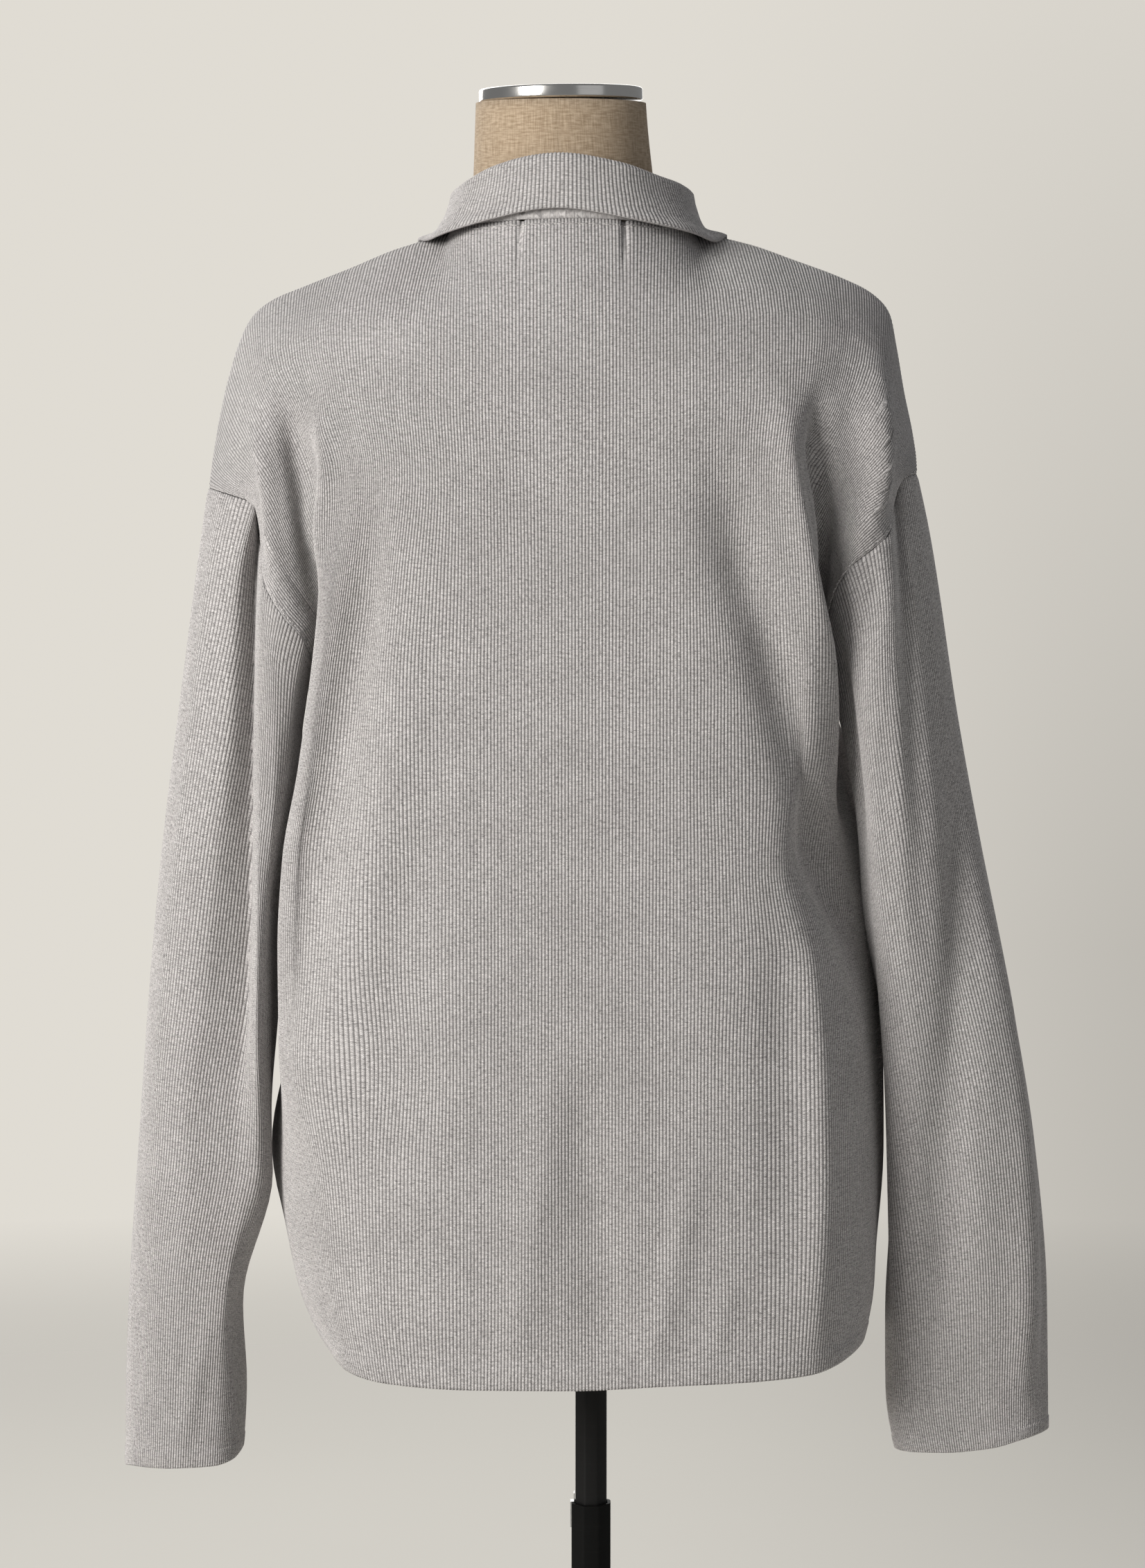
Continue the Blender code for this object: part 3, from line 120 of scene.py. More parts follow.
# Sections of the back panel below and above the underarm (v = 0), mm, left edge to right edge.
BACK_SECTIONS: Sections = (
    (-428, (  # hem
        (1, 170, -15, 724), (0.8, 172, 25, 721), (0.62, 162, 68, 713.5), (0.5, 150, 95, 706.5),
        (0.39, 127, 113, 703), (0.207, 74, 124, 701), (0, 12, 126, 701), (-0.207, -50, 124, 703.5),
        (-0.35, -95, 118, 704.5), (-0.47, -135, 105, 706.5), (-0.58, -156, 79, 710), (-0.78, -172, 22, 713),
        (-1, -174, -15, 716))),
    (-382, (
        (1, 183, -15, 750), (0.8, 184.5, 20, 748), (0.62, 173.5, 66, 748), (0.5, 159, 93, 748),
        (0.39, 132, 111, 748), (0.207, 74, 122, 748), (0, 12, 124, 748), (-0.207, -50, 122, 748),
        (-0.35, -95, 118, 748), (-0.47, -137, 108, 748), (-0.58, -160, 76, 748), (-0.78, -178.5, 20, 749),
        (-1, -179, -15, 750))),
    (-300, (
        (1, 203.5, -18, 830), (0.8, 197, 14, 830), (0.62, 184, 62, 830), (0.5, 166, 89, 830),
        (0.39, 134, 107, 830), (0.207, 74, 119, 830), (0, 12, 122, 830), (-0.207, -50, 120, 830),
        (-0.35, -95, 116, 830), (-0.47, -139, 103, 830), (-0.58, -163, 70, 830), (-0.78, -181, 18, 830),
        (-1, -186, -15, 830))),
    (-230, (
        (1, 190, -14, 900), (0.84, 190, 16, 900), (0.72, 193.5, 36, 900), (0.63, 194, 52, 900),
        (0.54, 184, 76, 900), (0.47, 164, 89, 900), (0.39, 132, 104, 900), (0.207, 74, 117, 900),
        (0, 12, 120, 900), (-0.207, -50, 118, 900), (-0.35, -95, 113, 900), (-0.47, -138, 99, 900),
        (-0.58, -161, 66, 900), (-0.78, -179, 16, 900), (-1, -185, -12, 900))),
    (-170, (
        (1, 178, -12, 960), (0.84, 181, 20, 960), (0.72, 190, 40, 960), (0.63, 194.5, 56, 960),
        (0.55, 186, 77, 960), (0.47, 163, 86, 960), (0.38, 131, 101, 960), (0.207, 74, 115, 960),
        (0, 12, 118, 960), (-0.207, -50, 117, 960), (-0.34, -93, 112, 960), (-0.46, -133, 96, 960),
        (-0.58, -156, 58, 960), (-0.78, -173, 16, 960), (-1, -179, -10, 960))),
    (-110, (
        (1, 175, -8, 1020), (0.84, 174, 24, 1020), (0.72, 183, 44, 1020), (0.63, 191, 60, 1020),
        (0.55, 183, 79, 1020), (0.47, 161, 84, 1020), (0.38, 130, 98, 1020), (0.207, 74, 113, 1020),
        (0, 12, 116, 1020), (-0.207, -50, 115, 1020), (-0.33, -88, 110, 1020), (-0.43, -116, 99, 1020),
        (-0.54, -141, 66, 1020), (-0.68, -157, 34, 1020), (-0.84, -167, 10, 1020), (-1, -172, -8, 1020))),
    (-55, (
        (1, 163, -4, 1075), (0.84, 160, 24, 1075), (0.72, 171, 48, 1075), (0.63, 181, 65, 1075),
        (0.55, 174, 82, 1075), (0.47, 155, 86, 1075), (0.38, 129, 97, 1075), (0.207, 74, 111, 1075),
        (0, 12, 114, 1075), (-0.207, -50, 113, 1075), (-0.32, -84, 108, 1075), (-0.42, -117, 99, 1075),
        (-0.5, -140, 86, 1075), (-0.58, -149, 62, 1075), (-0.7, -145, 38, 1075), (-0.84, -149, 16, 1075),
        (-1, -153, -4, 1073))),
    (0, (
        (1, 176, 0, 1128), (0.84, 160, 24, 1130), (0.72, 161, 48, 1131), (0.63, 173, 69, 1132),
        (0.55, 166, 84, 1132), (0.46, 147, 88, 1132), (0.37, 125, 97, 1132), (0.207, 74, 109, 1131),
        (0, 12, 112, 1130), (-0.207, -50, 111, 1131), (-0.32, -84, 107, 1131), (-0.42, -113, 100, 1131),
        (-0.5, -134, 92, 1131), (-0.58, -143.5, 72, 1130), (-0.7, -137, 46, 1129),
        (-0.84, -140, 22, 1126), (-1, -157, 0, 1120))),
    (60, (
        (0.9, 162, 46, 1158), (0.76, 157, 54, 1174), (0.65, 167, 78, 1186), (0.56, 158, 88, 1190),
        (0.46, 140, 93, 1191), (0.37, 121, 101, 1191), (0.207, 73, 109, 1189), (0, 12, 111.5, 1187),
        (-0.207, -50, 110, 1189), (-0.32, -82, 107, 1190), (-0.43, -112, 101, 1191),
        (-0.53, -131, 93, 1189), (-0.62, -138, 78, 1185), (-0.76, -136, 54, 1174), (-0.9, -140, 44, 1164))),
    (120, (
        (0.92, 193, 70, 1207), (0.82, 182, 72, 1227), (0.72, 170, 70, 1243), (0.62, 160, 80, 1254),
        (0.52, 145, 92, 1258), (0.42, 126, 101, 1257), (0.207, 73, 108.5, 1247), (0, 12, 110.5, 1243),
        (-0.207, -50, 109.5, 1247), (-0.38, -98, 104, 1257), (-0.48, -117, 98, 1260),
        (-0.58, -131, 89, 1259), (-0.68, -142, 76, 1251), (-0.8, -151, 72, 1238), (-0.92, -158, 74, 1219))),
    (180, (
        (0.92, 204.5, 60, 1242), (0.82, 198, 69, 1264), (0.72, 186.5, 69, 1285), (0.62, 172, 73, 1299),
        (0.52, 155, 83, 1307), (0.41, 129, 94, 1309), (0.207, 75, 105, 1302), (0, 12, 108, 1300),
        (-0.207, -50, 106, 1303), (-0.4, -105, 96, 1310), (-0.5, -130, 86, 1309),
        (-0.6, -147, 76, 1302), (-0.71, -163, 70, 1288), (-0.82, -177, 69, 1269),
        (-0.92, -184.5, 60, 1252))),
    (225, (
        (0.9, 226, 30, 1269), (0.8, 214.5, 40, 1301), (0.71, 203.5, 47, 1326), (0.6, 179, 55, 1343),
        (0.5, 156, 65, 1351), (0.4, 127, 78, 1355), (0.207, 75, 97, 1348), (0, 12, 102, 1344),
        (-0.207, -50, 97, 1349), (-0.4, -105, 78, 1359), (-0.5, -133, 65, 1356),
        (-0.6, -156, 55, 1348), (-0.71, -179, 47, 1329), (-0.8, -189.5, 40, 1306),
        (-0.9, -197, 29, 1278))),
)

# Places of the front sections' points: 1 at the side, 0 at the button band.
FRONT_PLACES: Row = (1, 0.84, 0.68, 0.46, 0.22, 0)


def front_sections(*rows: tuple) -> Sections:
    """Sections of rows that give v, the points at the last of the places, and z where all share it."""
    return tuple(
        (v, tuple((s, *p, *z) for s, p in zip(FRONT_PLACES[-len(cut):], cut)))
        for v, cut, *z in rows)


FRONT_LEFT_SECTIONS: Sections = front_sections(
    (-428, ((170, -15, 724), (167, -62, 716), (146, -87, 703), (106, -105, 701), (58, -112, 700),
           (15, -114, 700))),
    (-382, ((183, -15, 750), (173, -58, 748), (151, -88, 748), (108, -106, 748), (58, -113, 748),
           (15, -115, 748))),
    (-300, ((203.5, -18), (192, -62), (160, -92), (109, -107), (58, -114), (15, -116)), 830),
    (-230, ((190, -14), (186, -60), (164, -93), (108, -107), (58, -115), (15, -117)), 900),
    (-170, ((178, -12), (183, -60), (165, -94), (107, -108), (58, -116), (15, -118)), 960),
    (-110, ((175, -8), (181, -62), (166, -94), (106, -109), (58, -117), (15, -119)), 1020),
    (-55, ((163, -4), (166, -48), (160, -92), (105, -109), (58, -118), (15, -120)), 1075),
    (0, ((176, 0, 1128), (165, -46, 1130), (143, -85, 1131), (104, -109, 1131), (58, -118, 1130),
           (15, -121, 1130))),
    (60, ((170, -60, 1164), (147, -86, 1178), (104, -108, 1187), (58, -117, 1188), (15, -119, 1186))),
    (120, ((187, -70, 1216), (161, -80, 1238), (110, -103, 1247), (58, -113, 1244), (15, -116, 1240))),
    (180, ((209, -60, 1262), (182, -65, 1292), (128, -86, 1306), (62, -105, 1299), (15, -109, 1290))),
    (225, ((221, -34, 1294), (196, -40, 1332), (142, -58, 1357), (74, -86, 1345), (15, -101, 1322))),
)
FRONT_RIGHT_SECTIONS: Sections = front_sections(
    (-428, ((-174, -15, 716), (-168, -62, 710), (-146, -87, 703), (-106, -105, 701), (-58, -112, 700),
           (-15, -111.3, 700))),
    (-382, ((-179, -15, 750), (-170, -58, 748), (-149, -88, 748), (-107, -106, 748), (-58, -113, 748),
           (-15, -112.3, 748))),
    (-300, ((-186, -15), (-178, -60), (-149, -90), (-107, -107), (-58, -114), (-15, -113.3)), 830),
    (-230, ((-185, -12), (-177, -60), (-155, -92), (-106, -107), (-58, -115), (-15, -114.3)), 900),
    (-170, ((-179, -10), (-177, -60), (-155, -93), (-104, -108), (-58, -116), (-15, -115.3)), 960),
    (-110, ((-172, -8), (-173, -56), (-152, -92), (-102, -109), (-57, -117), (-15, -116.3)), 1020),
    (-55, ((-153, -4, 1073), (-166, -48, 1074), (-151, -90, 1075), (-100, -109, 1075), (-56, -118, 1075),
           (-15, -117.3, 1075))),
    (0, ((-157, 0, 1120), (-147, -46, 1126), (-131, -85, 1130), (-97, -109, 1130), (-55, -118, 1130),
           (-15, -118.3, 1130))),
    (60, ((-151, -60, 1160), (-132, -86, 1177), (-95, -108, 1187), (-54, -117, 1188), (-15, -116.3, 1186))),
    (120, ((-164, -70, 1218), (-141, -80, 1241), (-97, -103, 1249), (-52, -113, 1245),
           (-15, -113.3, 1240))),
    (180, ((-180, -60, 1268), (-157, -65, 1298), (-107, -86, 1309), (-52, -105, 1300),
           (-15, -106.3, 1290))),
    (225, ((-188, -34, 1300), (-171, -40, 1338), (-119, -58, 1361), (-54, -86, 1346), (-15, -98.3, 1322))),
)

# Rings of the sleeves below the armhole seam, mm. q runs from the outer line (0) by the back to the
# underarm line (0.5) and by the front back to the outer line (1).
SLEEVE_LEFT_RINGS: Sections = (
    (0.08, (
        (0, 247, -4, 1200), (0.06, 238, 28, 1198), (0.115, 219, 43, 1193), (0.165, 208.5, 30, 1185),
        (0.225, 206, 60, 1166), (0.26, 202.5, 68, 1153), (0.31, 194, 73, 1136), (0.355, 182.5, 66, 1122),
        (0.4, 182, 48, 1109), (0.5, 190, 0, 1088), (0.6, 192, -42, 1100), (0.75, 212, -62, 1142),
        (0.9, 238, -40, 1188))),
    (0.22, (
        (0, 259, -3, 1110), (0.06, 248, 32, 1108), (0.115, 225, 46, 1104), (0.165, 210.5, 33, 1097),
        (0.215, 207.5, 57, 1088), (0.255, 203.5, 67, 1078), (0.31, 196, 69, 1066), (0.37, 188.5, 53, 1053),
        (0.42, 185.5, 32, 1042), (0.5, 187, -5, 1032), (0.6, 194, -44, 1036), (0.75, 222, -60, 1064),
        (0.9, 251, -40, 1096))),
    (0.36, (
        (0, 270, -2, 1022), (0.06, 258, 34, 1021), (0.115, 233, 48, 1018), (0.165, 212, 36, 1013),
        (0.21, 209, 55, 1007), (0.255, 205.5, 64, 1000), (0.31, 201, 60, 992), (0.37, 198, 43, 984),
        (0.42, 196, 22, 978), (0.5, 194, -8, 973), (0.6, 200, -44, 976), (0.75, 230, -60, 992),
        (0.9, 261, -38, 1012))),
    (0.5, (
        (0, 279, -1, 932), (0.06, 268, 34, 931), (0.115, 242, 48, 928), (0.165, 215.5, 38, 924),
        (0.21, 211, 52, 920), (0.255, 207.5, 59, 914), (0.31, 204, 52, 908), (0.37, 200, 36, 902),
        (0.42, 199.5, 17, 898), (0.5, 200, -10, 895), (0.6, 205, -44, 897), (0.75, 236, -58, 908),
        (0.9, 269, -36, 922))),
    (0.65, (
        (0, 286, 0, 838), (0.07, 275, 33, 837), (0.13, 248, 47, 834), (0.19, 221, 43, 830),
        (0.25, 210, 44, 826), (0.33, 200.5, 27, 820), (0.42, 205.5, 2, 815), (0.5, 210, -18, 812),
        (0.6, 219, -42, 815), (0.75, 245, -52, 822), (0.9, 275, -32, 832))),
    (0.8, (
        (0, 292.5, 2, 742), (0.07, 282, 32, 741), (0.14, 256, 44, 739), (0.21, 231, 40, 736),
        (0.28, 224.5, 24, 733), (0.38, 221.5, 2, 730), (0.5, 224, -20, 728), (0.62, 236, -38, 729),
        (0.76, 262, -42, 733), (0.9, 284, -26, 739))),
    (0.9, (
        (0, 295, 3, 686), (0.07, 286, 30, 685), (0.14, 261, 42, 684), (0.21, 235, 37, 682),
        (0.28, 223, 22, 681), (0.38, 219, 2, 680), (0.5, 222, -18, 680), (0.62, 239, -33, 681),
        (0.76, 264, -36, 683), (0.9, 286, -22, 685))),
    (1, (
        (0, 296, 4, 628), (0.07, 288, 29, 632), (0.14, 263, 41, 633), (0.21, 237, 36, 633.5),
        (0.28, 225, 22, 636), (0.38, 221.5, 3, 639), (0.5, 225, -15, 639), (0.62, 241, -29, 636),
        (0.76, 265, -32, 631), (0.9, 287, -19, 628))),
)
SLEEVE_RIGHT_RINGS: Sections = (
    (0.08, (
        (0, -214, -3, 1206), (0.06, -208, 26, 1204), (0.115, -196, 46, 1196), (0.155, -190, 52, 1186),
        (0.21, -184, 67, 1173), (0.27, -171, 72, 1157), (0.33, -158, 62, 1137), (0.39, -156, 38, 1113),
        (0.5, -182, 0, 1096), (0.6, -184, -42, 1102), (0.75, -189, -62, 1145), (0.9, -208, -40, 1194))),
    (0.22, (
        (0, -229.5, -2, 1110), (0.06, -222, 28, 1108), (0.12, -205, 49, 1103), (0.165, -194, 58, 1097),
        (0.21, -186, 67, 1090), (0.27, -175, 69, 1078), (0.33, -168, 57, 1064), (0.4, -168, 34, 1048),
        (0.5, -185, -4, 1038), (0.6, -190, -44, 1040), (0.75, -200, -60, 1064), (0.9, -222, -40, 1096))),
    (0.36, (
        (0, -246, -1, 1022), (0.06, -238, 30, 1021), (0.12, -217, 51, 1017), (0.17, -202, 58, 1012),
        (0.22, -190, 64, 1006), (0.28, -179, 62, 998), (0.34, -174, 48, 989), (0.41, -176, 24, 980),
        (0.5, -184, -8, 974), (0.6, -192, -44, 977), (0.75, -210, -60, 994), (0.9, -237, -38, 1013))),
    (0.5, (
        (0, -264, 0, 932), (0.06, -256, 28, 931), (0.12, -234, 49, 927), (0.18, -213, 55, 922),
        (0.24, -198, 57, 916), (0.3, -187, 50, 909), (0.36, -182.5, 34, 903), (0.43, -186, 12, 897),
        (0.5, -192, -12, 894), (0.6, -202, -44, 896), (0.75, -221, -58, 907), (0.9, -254, -36, 922))),
    (0.65, (
        (0, -280, 1, 838), (0.06, -273, 26, 837), (0.12, -253, 44, 834), (0.18, -229, 51, 830),
        (0.24, -210, 50, 826), (0.3, -195, 42, 822), (0.37, -187, 26, 817), (0.44, -190, 6, 814),
        (0.5, -194, -12, 812), (0.6, -204, -38, 815), (0.75, -230, -50, 822), (0.9, -268, -32, 832))),
    (0.8, (
        (0, -289, 2, 742), (0.06, -283, 20, 741), (0.12, -266, 36, 739), (0.18, -243, 42, 736),
        (0.24, -221, 42, 733), (0.3, -202, 36, 731), (0.37, -190, 22, 729), (0.44, -187, 6, 728),
        (0.5, -189, -8, 728), (0.6, -203, -28, 730), (0.75, -236, -38, 734), (0.9, -275, -26, 740))),
    (0.9, (
        (0, -290, 3, 692), (0.06, -285, 16, 691), (0.12, -269, 30, 688), (0.18, -248, 35, 685),
        (0.24, -226, 35, 682), (0.3, -206, 30, 680), (0.37, -191, 19, 679), (0.44, -187.5, 6, 678),
        (0.5, -190, -6, 679), (0.6, -208, -22, 681), (0.75, -240, -31, 686), (0.9, -276, -20, 691))),
    (1, (
        (0, -290.5, 4, 651), (0.06, -286, 15, 650.5), (0.12, -272, 26, 648), (0.18, -252, 31, 643.5),
        (0.24, -230, 31, 641), (0.3, -210, 27, 640), (0.37, -198, 18, 639), (0.44, -193.5, 6, 638.5),
        (0.5, -195.5, -4, 639), (0.6, -212, -18, 640), (0.75, -243, -26, 645), (0.9, -277, -16, 650))),
)

# Collar, mm, by share of the way from the left front end to the right front end.
COLLAR: Table = (
    # u, stand height, lean to the neck, fold width, fall drop, flare of the fall edge
    (0.00, 17, 3, 7, 58, 12), (0.12, 19, 5, 7, 50, 15), (0.26, 22, 9, 6.5, 38, 20),
    (0.34, 25, 10.5, 6, 30, 20), (0.42, 33, 10, 6, 31, 12), (0.5, 37.5, 8, 6, 29.5, 6),
    (0.58, 33, 10, 6, 31, 12), (0.66, 26, 10.5, 6, 30, 20), (0.74, 22, 9, 6.5, 38, 20),
    (0.88, 19, 5, 7, 50, 15), (1.00, 17, 3, 7, 58, 12),
)
NECK_AXIS: Row = (13, -8)  # Middle of the neck seen from above, mm.

# Sections of the dress form, mm.
FORM: Table = (
    # z, centre x, centre y, half width, half depth, power
    (768, 2, -4, 118, 84, 2.3), (776, 2, -4, 132, 94, 2.3), (830, 3, -4, 146, 102, 2.3),
    (880, 4, -4, 146, 101, 2.3), (960, 5, -4, 134, 92, 2.3), (1030, 6, -4, 126, 86, 2.3),
    (1100, 7, -5, 127, 89, 2.3), (1170, 8, -5, 130, 97, 2.3), (1230, 10, -4, 139, 100, 2.3),
    (1280, 11, -3, 151, 99, 2.4), (1310, 12, -2, 164, 92, 2.4), (1332, 13, -1, 172, 82, 2.4),
    (1348, 13.5, 0, 170, 71, 2.4), (1360, 13.5, 0, 158, 63, 2.3), (1370, 14, 0, 140, 59, 2.2),
    (1380, 14, 0, 113, 56, 2.1), (1390, 14, 0, 88, 53.5, 2), (1399, 14.5, 0, 72, 53.5, 2),
    (1410, 15, 0, 62, 54.5, 2), (1424, 16.5, 0, 57.5, 56, 2), (1442, 17.6, 0, 55.8, 55.5, 2),
    (1486, 19, 0, 52.9, 53.2, 2),
)


# ---------------------------------------------------------------- curves through the tables

def slopes(x: ndarray, y: ndarray) -> ndarray:
    """Slopes of a curve through the points that never overshoots them.

    Args:
        x: Rising parameters, one for each point.
        y: Points, one row each.

    Returns:
        A slope for each point and coordinate.
    """
    h = np.diff(x)
    d = np.diff(y, axis=0) / h[:, None]
    if len(x) == 2:
        return np.repeat(d, 2, axis=0)
    m = np.zeros_like(y)
    w1 = (2 * h[1:] + h[:-1])[:, None]
    w2 = (h[1:] + 2 * h[:-1])[:, None]
    same = d[:-1] * d[1:] > 0
    low, high = np.where(same, d[:-1], 1.0), np.where(same, d[1:], 1.0)
    m[1:-1] = np.where(same, (w1 + w2) / (w1 / low + w2 / high), 0.0)
    for end, near, a, b in ((0, 0, 0, 1), (-1, -1, -1, -2)):
        first = ((2 * h[a] + h[b]) * d[near] - h[a] * d[b]) / (h[a] + h[b])
        first = np.where(first * d[near] <= 0, 0.0, first)
        turned = (d[near] * d[b] < 0) & (np.abs(first) > 3 * np.abs(d[near]))
        m[end] = np.where(turned, 3 * d[near], first)
    return m


def through(x: ndarray, y: ndarray, at: ndarray) -> ndarray:
    """Smooth curve through given points.

    Args:
        x: Rising parameters.
        y: Points at x, one row each.
        at: Parameters to read the curve at.

    Returns:
        The points at `at`.
    """
    x, y, at = np.asarray(x, float), np.asarray(y, float), np.asarray(at, float)
    m = slopes(x, y)
    k = np.clip(np.searchsorted(x, at, side="right") - 1, 0, len(x) - 2)
    h = (x[k + 1] - x[k])[:, None]
    t = ((at - x[k])[:, None]) / h
    return ((1 + 2 * t) * (1 - t) ** 2 * y[k] + t * (1 - t) ** 2 * h * m[k]
            + t * t * (3 - 2 * t) * y[k + 1] + t * t * (t - 1) * h * m[k + 1])


def table_curve(rows: Table, at: ndarray) -> ndarray:
    """Points in metres of a table of (parameter, x, y, z) rows.

    Args:
        rows: The table, in millimetres.
        at: Parameters to read it at.

    Returns:
        One point for each parameter.
    """
    data = np.array(sorted(rows), float)
    return through(data[:, 0], data[:, 1:], at) * MM


def mirrored(rows: Table) -> Table:
    """The same table with its parameter's sign turned."""
    return tuple((-r[0], *r[1:]) for r in rows)


def skin(keys: list[float], curves: list[ndarray], at: ndarray) -> ndarray:
    """Grid of points over curves of equal counts.

    Args:
        keys: Rising parameters, one for each curve.
        curves: Points of each curve.
        at: Parameters of the wanted rows.

    Returns:
        Points by row and column.
    """
    flat = np.array(curves).reshape(len(keys), -1)
    return through(np.array(keys), flat, at).reshape(len(at), -1, 3)


def lengths_along(points: ndarray) -> ndarray:
    """Length of a line of points up to each of them."""
    return np.concatenate([[0.0], np.cumsum(np.linalg.norm(np.diff(points, axis=0), axis=1))])


def lengths_up(grid: ndarray) -> ndarray:
    """Mean length of a grid's columns up to each row."""
    step = np.linalg.norm(np.diff(grid, axis=0), axis=2).mean(axis=1)
    return np.concatenate([[0.0], np.cumsum(step)])


def read_line(at: ndarray, keys: ndarray, points: ndarray) -> ndarray:
    """Points at given places of a line, straight between its own points."""
    return np.stack([np.interp(at, keys, points[:, k]) for k in range(3)], axis=1)


def evened(line: ndarray, pitch: float, wide: float) -> ndarray:
    """Line of points evened out by a bell curve.

    Args:
        line: The points.
        pitch: Distance between them, mm.
        wide: Half width of the bell, mm.

    Returns:
        The evened points.
    """
    reach = int(3 * wide / pitch)
    bell = np.exp(-0.5 * (np.arange(-reach, reach + 1) * pitch / wide) ** 2)
    longer = np.pad(line, ((reach, reach), (0, 0)), mode="reflect", reflect_type="odd")
    return np.stack([np.convolve(longer[:, k], bell / bell.sum(), mode="valid") for k in range(3)], axis=1)


def dip(off: ndarray, wide: float) -> ndarray:
    """Bell curve of a distance, 1 where it is none."""
    return np.exp(-((off / wide) ** 2))


def soft_step(x: ndarray) -> ndarray:
    """Smooth rise from 0 at 0 to 1 at 1."""
    x = np.clip(x, 0.0, 1.0)
    return x * x * (3.0 - 2.0 * x)


def grid_normals(grid: ndarray, wrap: bool) -> ndarray:
    """Unit normals of a grid of points.

    Args:
        grid: Points by row and column.
        wrap: Whether the last column meets the first.

    Returns:
        A normal for each point.
    """
    if wrap:
        across = np.roll(grid, -1, axis=1) - np.roll(grid, 1, axis=1)
    else:
        across = np.gradient(grid, axis=1)
    normal = np.cross(across, np.gradient(grid, axis=0))
    return normal / np.maximum(np.linalg.norm(normal, axis=2)[:, :, None], 1e-12)


def surface_tree(grids: list[tuple[ndarray, ndarray]]) -> BVHTree:
    """Search tree over the faces of several grids whose normals face out.

    Args:
        grids: Pairs of points and normals by row and column.

    Returns:
        The tree.
    """
    verts: list[Vector] = []
    faces: list[tuple[int, ...]] = []
    for grid, normal in grids:
        rows, cols, _ = grid.shape
        start = len(verts)
        verts += [Vector(p) for p in grid.reshape(-1, 3)]
        turn = np.dot(np.cross(grid[0, 1] - grid[0, 0], grid[1, 0] - grid[0, 0]), normal[0, 0]) > 0
        for i in range(rows - 1):
            for j in range(cols - 1):
                a = start + i * cols + j
                face = (a, a + 1, a + cols + 1, a + cols)
                faces.append(face if turn else face[::-1])
    return BVHTree.FromPolygons(verts, faces)


def lay_on(points: ndarray, tree: BVHTree, clearance: float,
           across: ndarray | None = None) -> None:
    """Lift the points that are nearer than the clearance off the surface they lie over.

    Args:
        points: Points, changed in place.
        tree: Search tree of the surface.
        clearance: Least height over the surface.
        across: For each point, a direction along which it must not move.
    """
    for _ in range(3):
        for k, p in enumerate(points):
            near, normal, _, _ = tree.find_nearest(Vector(p))
            height = (Vector(p) - near).dot(normal)
            if height < clearance:
                way = np.array(normal)
                if across is not None:
                    way -= across[k] * np.dot(way, across[k])
                    way /= np.linalg.norm(way)
                points[k] = p + way * (clearance - height) / max(np.dot(way, normal), 0.3)


def swell(u: ndarray, v: ndarray, seed: int, size: float) -> ndarray:
    """Gentle waviness of cloth, the same each time.

    Args:
        u: Flat widths in millimetres.
        v: Flat heights in millimetres.
        seed: Picks the waves.
        size: Shortest wave in millimetres.

    Returns:
        Values from about -1 to 1.
    """
    dice = np.random.default_rng(seed)
    total = np.zeros(np.broadcast(u, v).shape)
    for _ in range(7):
        angle, phase = dice.uniform(-0.9, 0.9), dice.uniform(0, TURN)
        wave = size * dice.uniform(1.0, 2.6)
        along = u * math.cos(angle) + v * 0.45 * math.sin(angle)
        total += np.sin(TURN * along / wave + phase) * dice.uniform(0.5, 1.0)
    return total / 3.2


# ---------------------------------------------------------------- finishes

class Stitch(Enum):
    """How a stretch of the knit is made."""

    BODY = "fine rib of the panels"
    BAND = "tighter rib of an edge band"


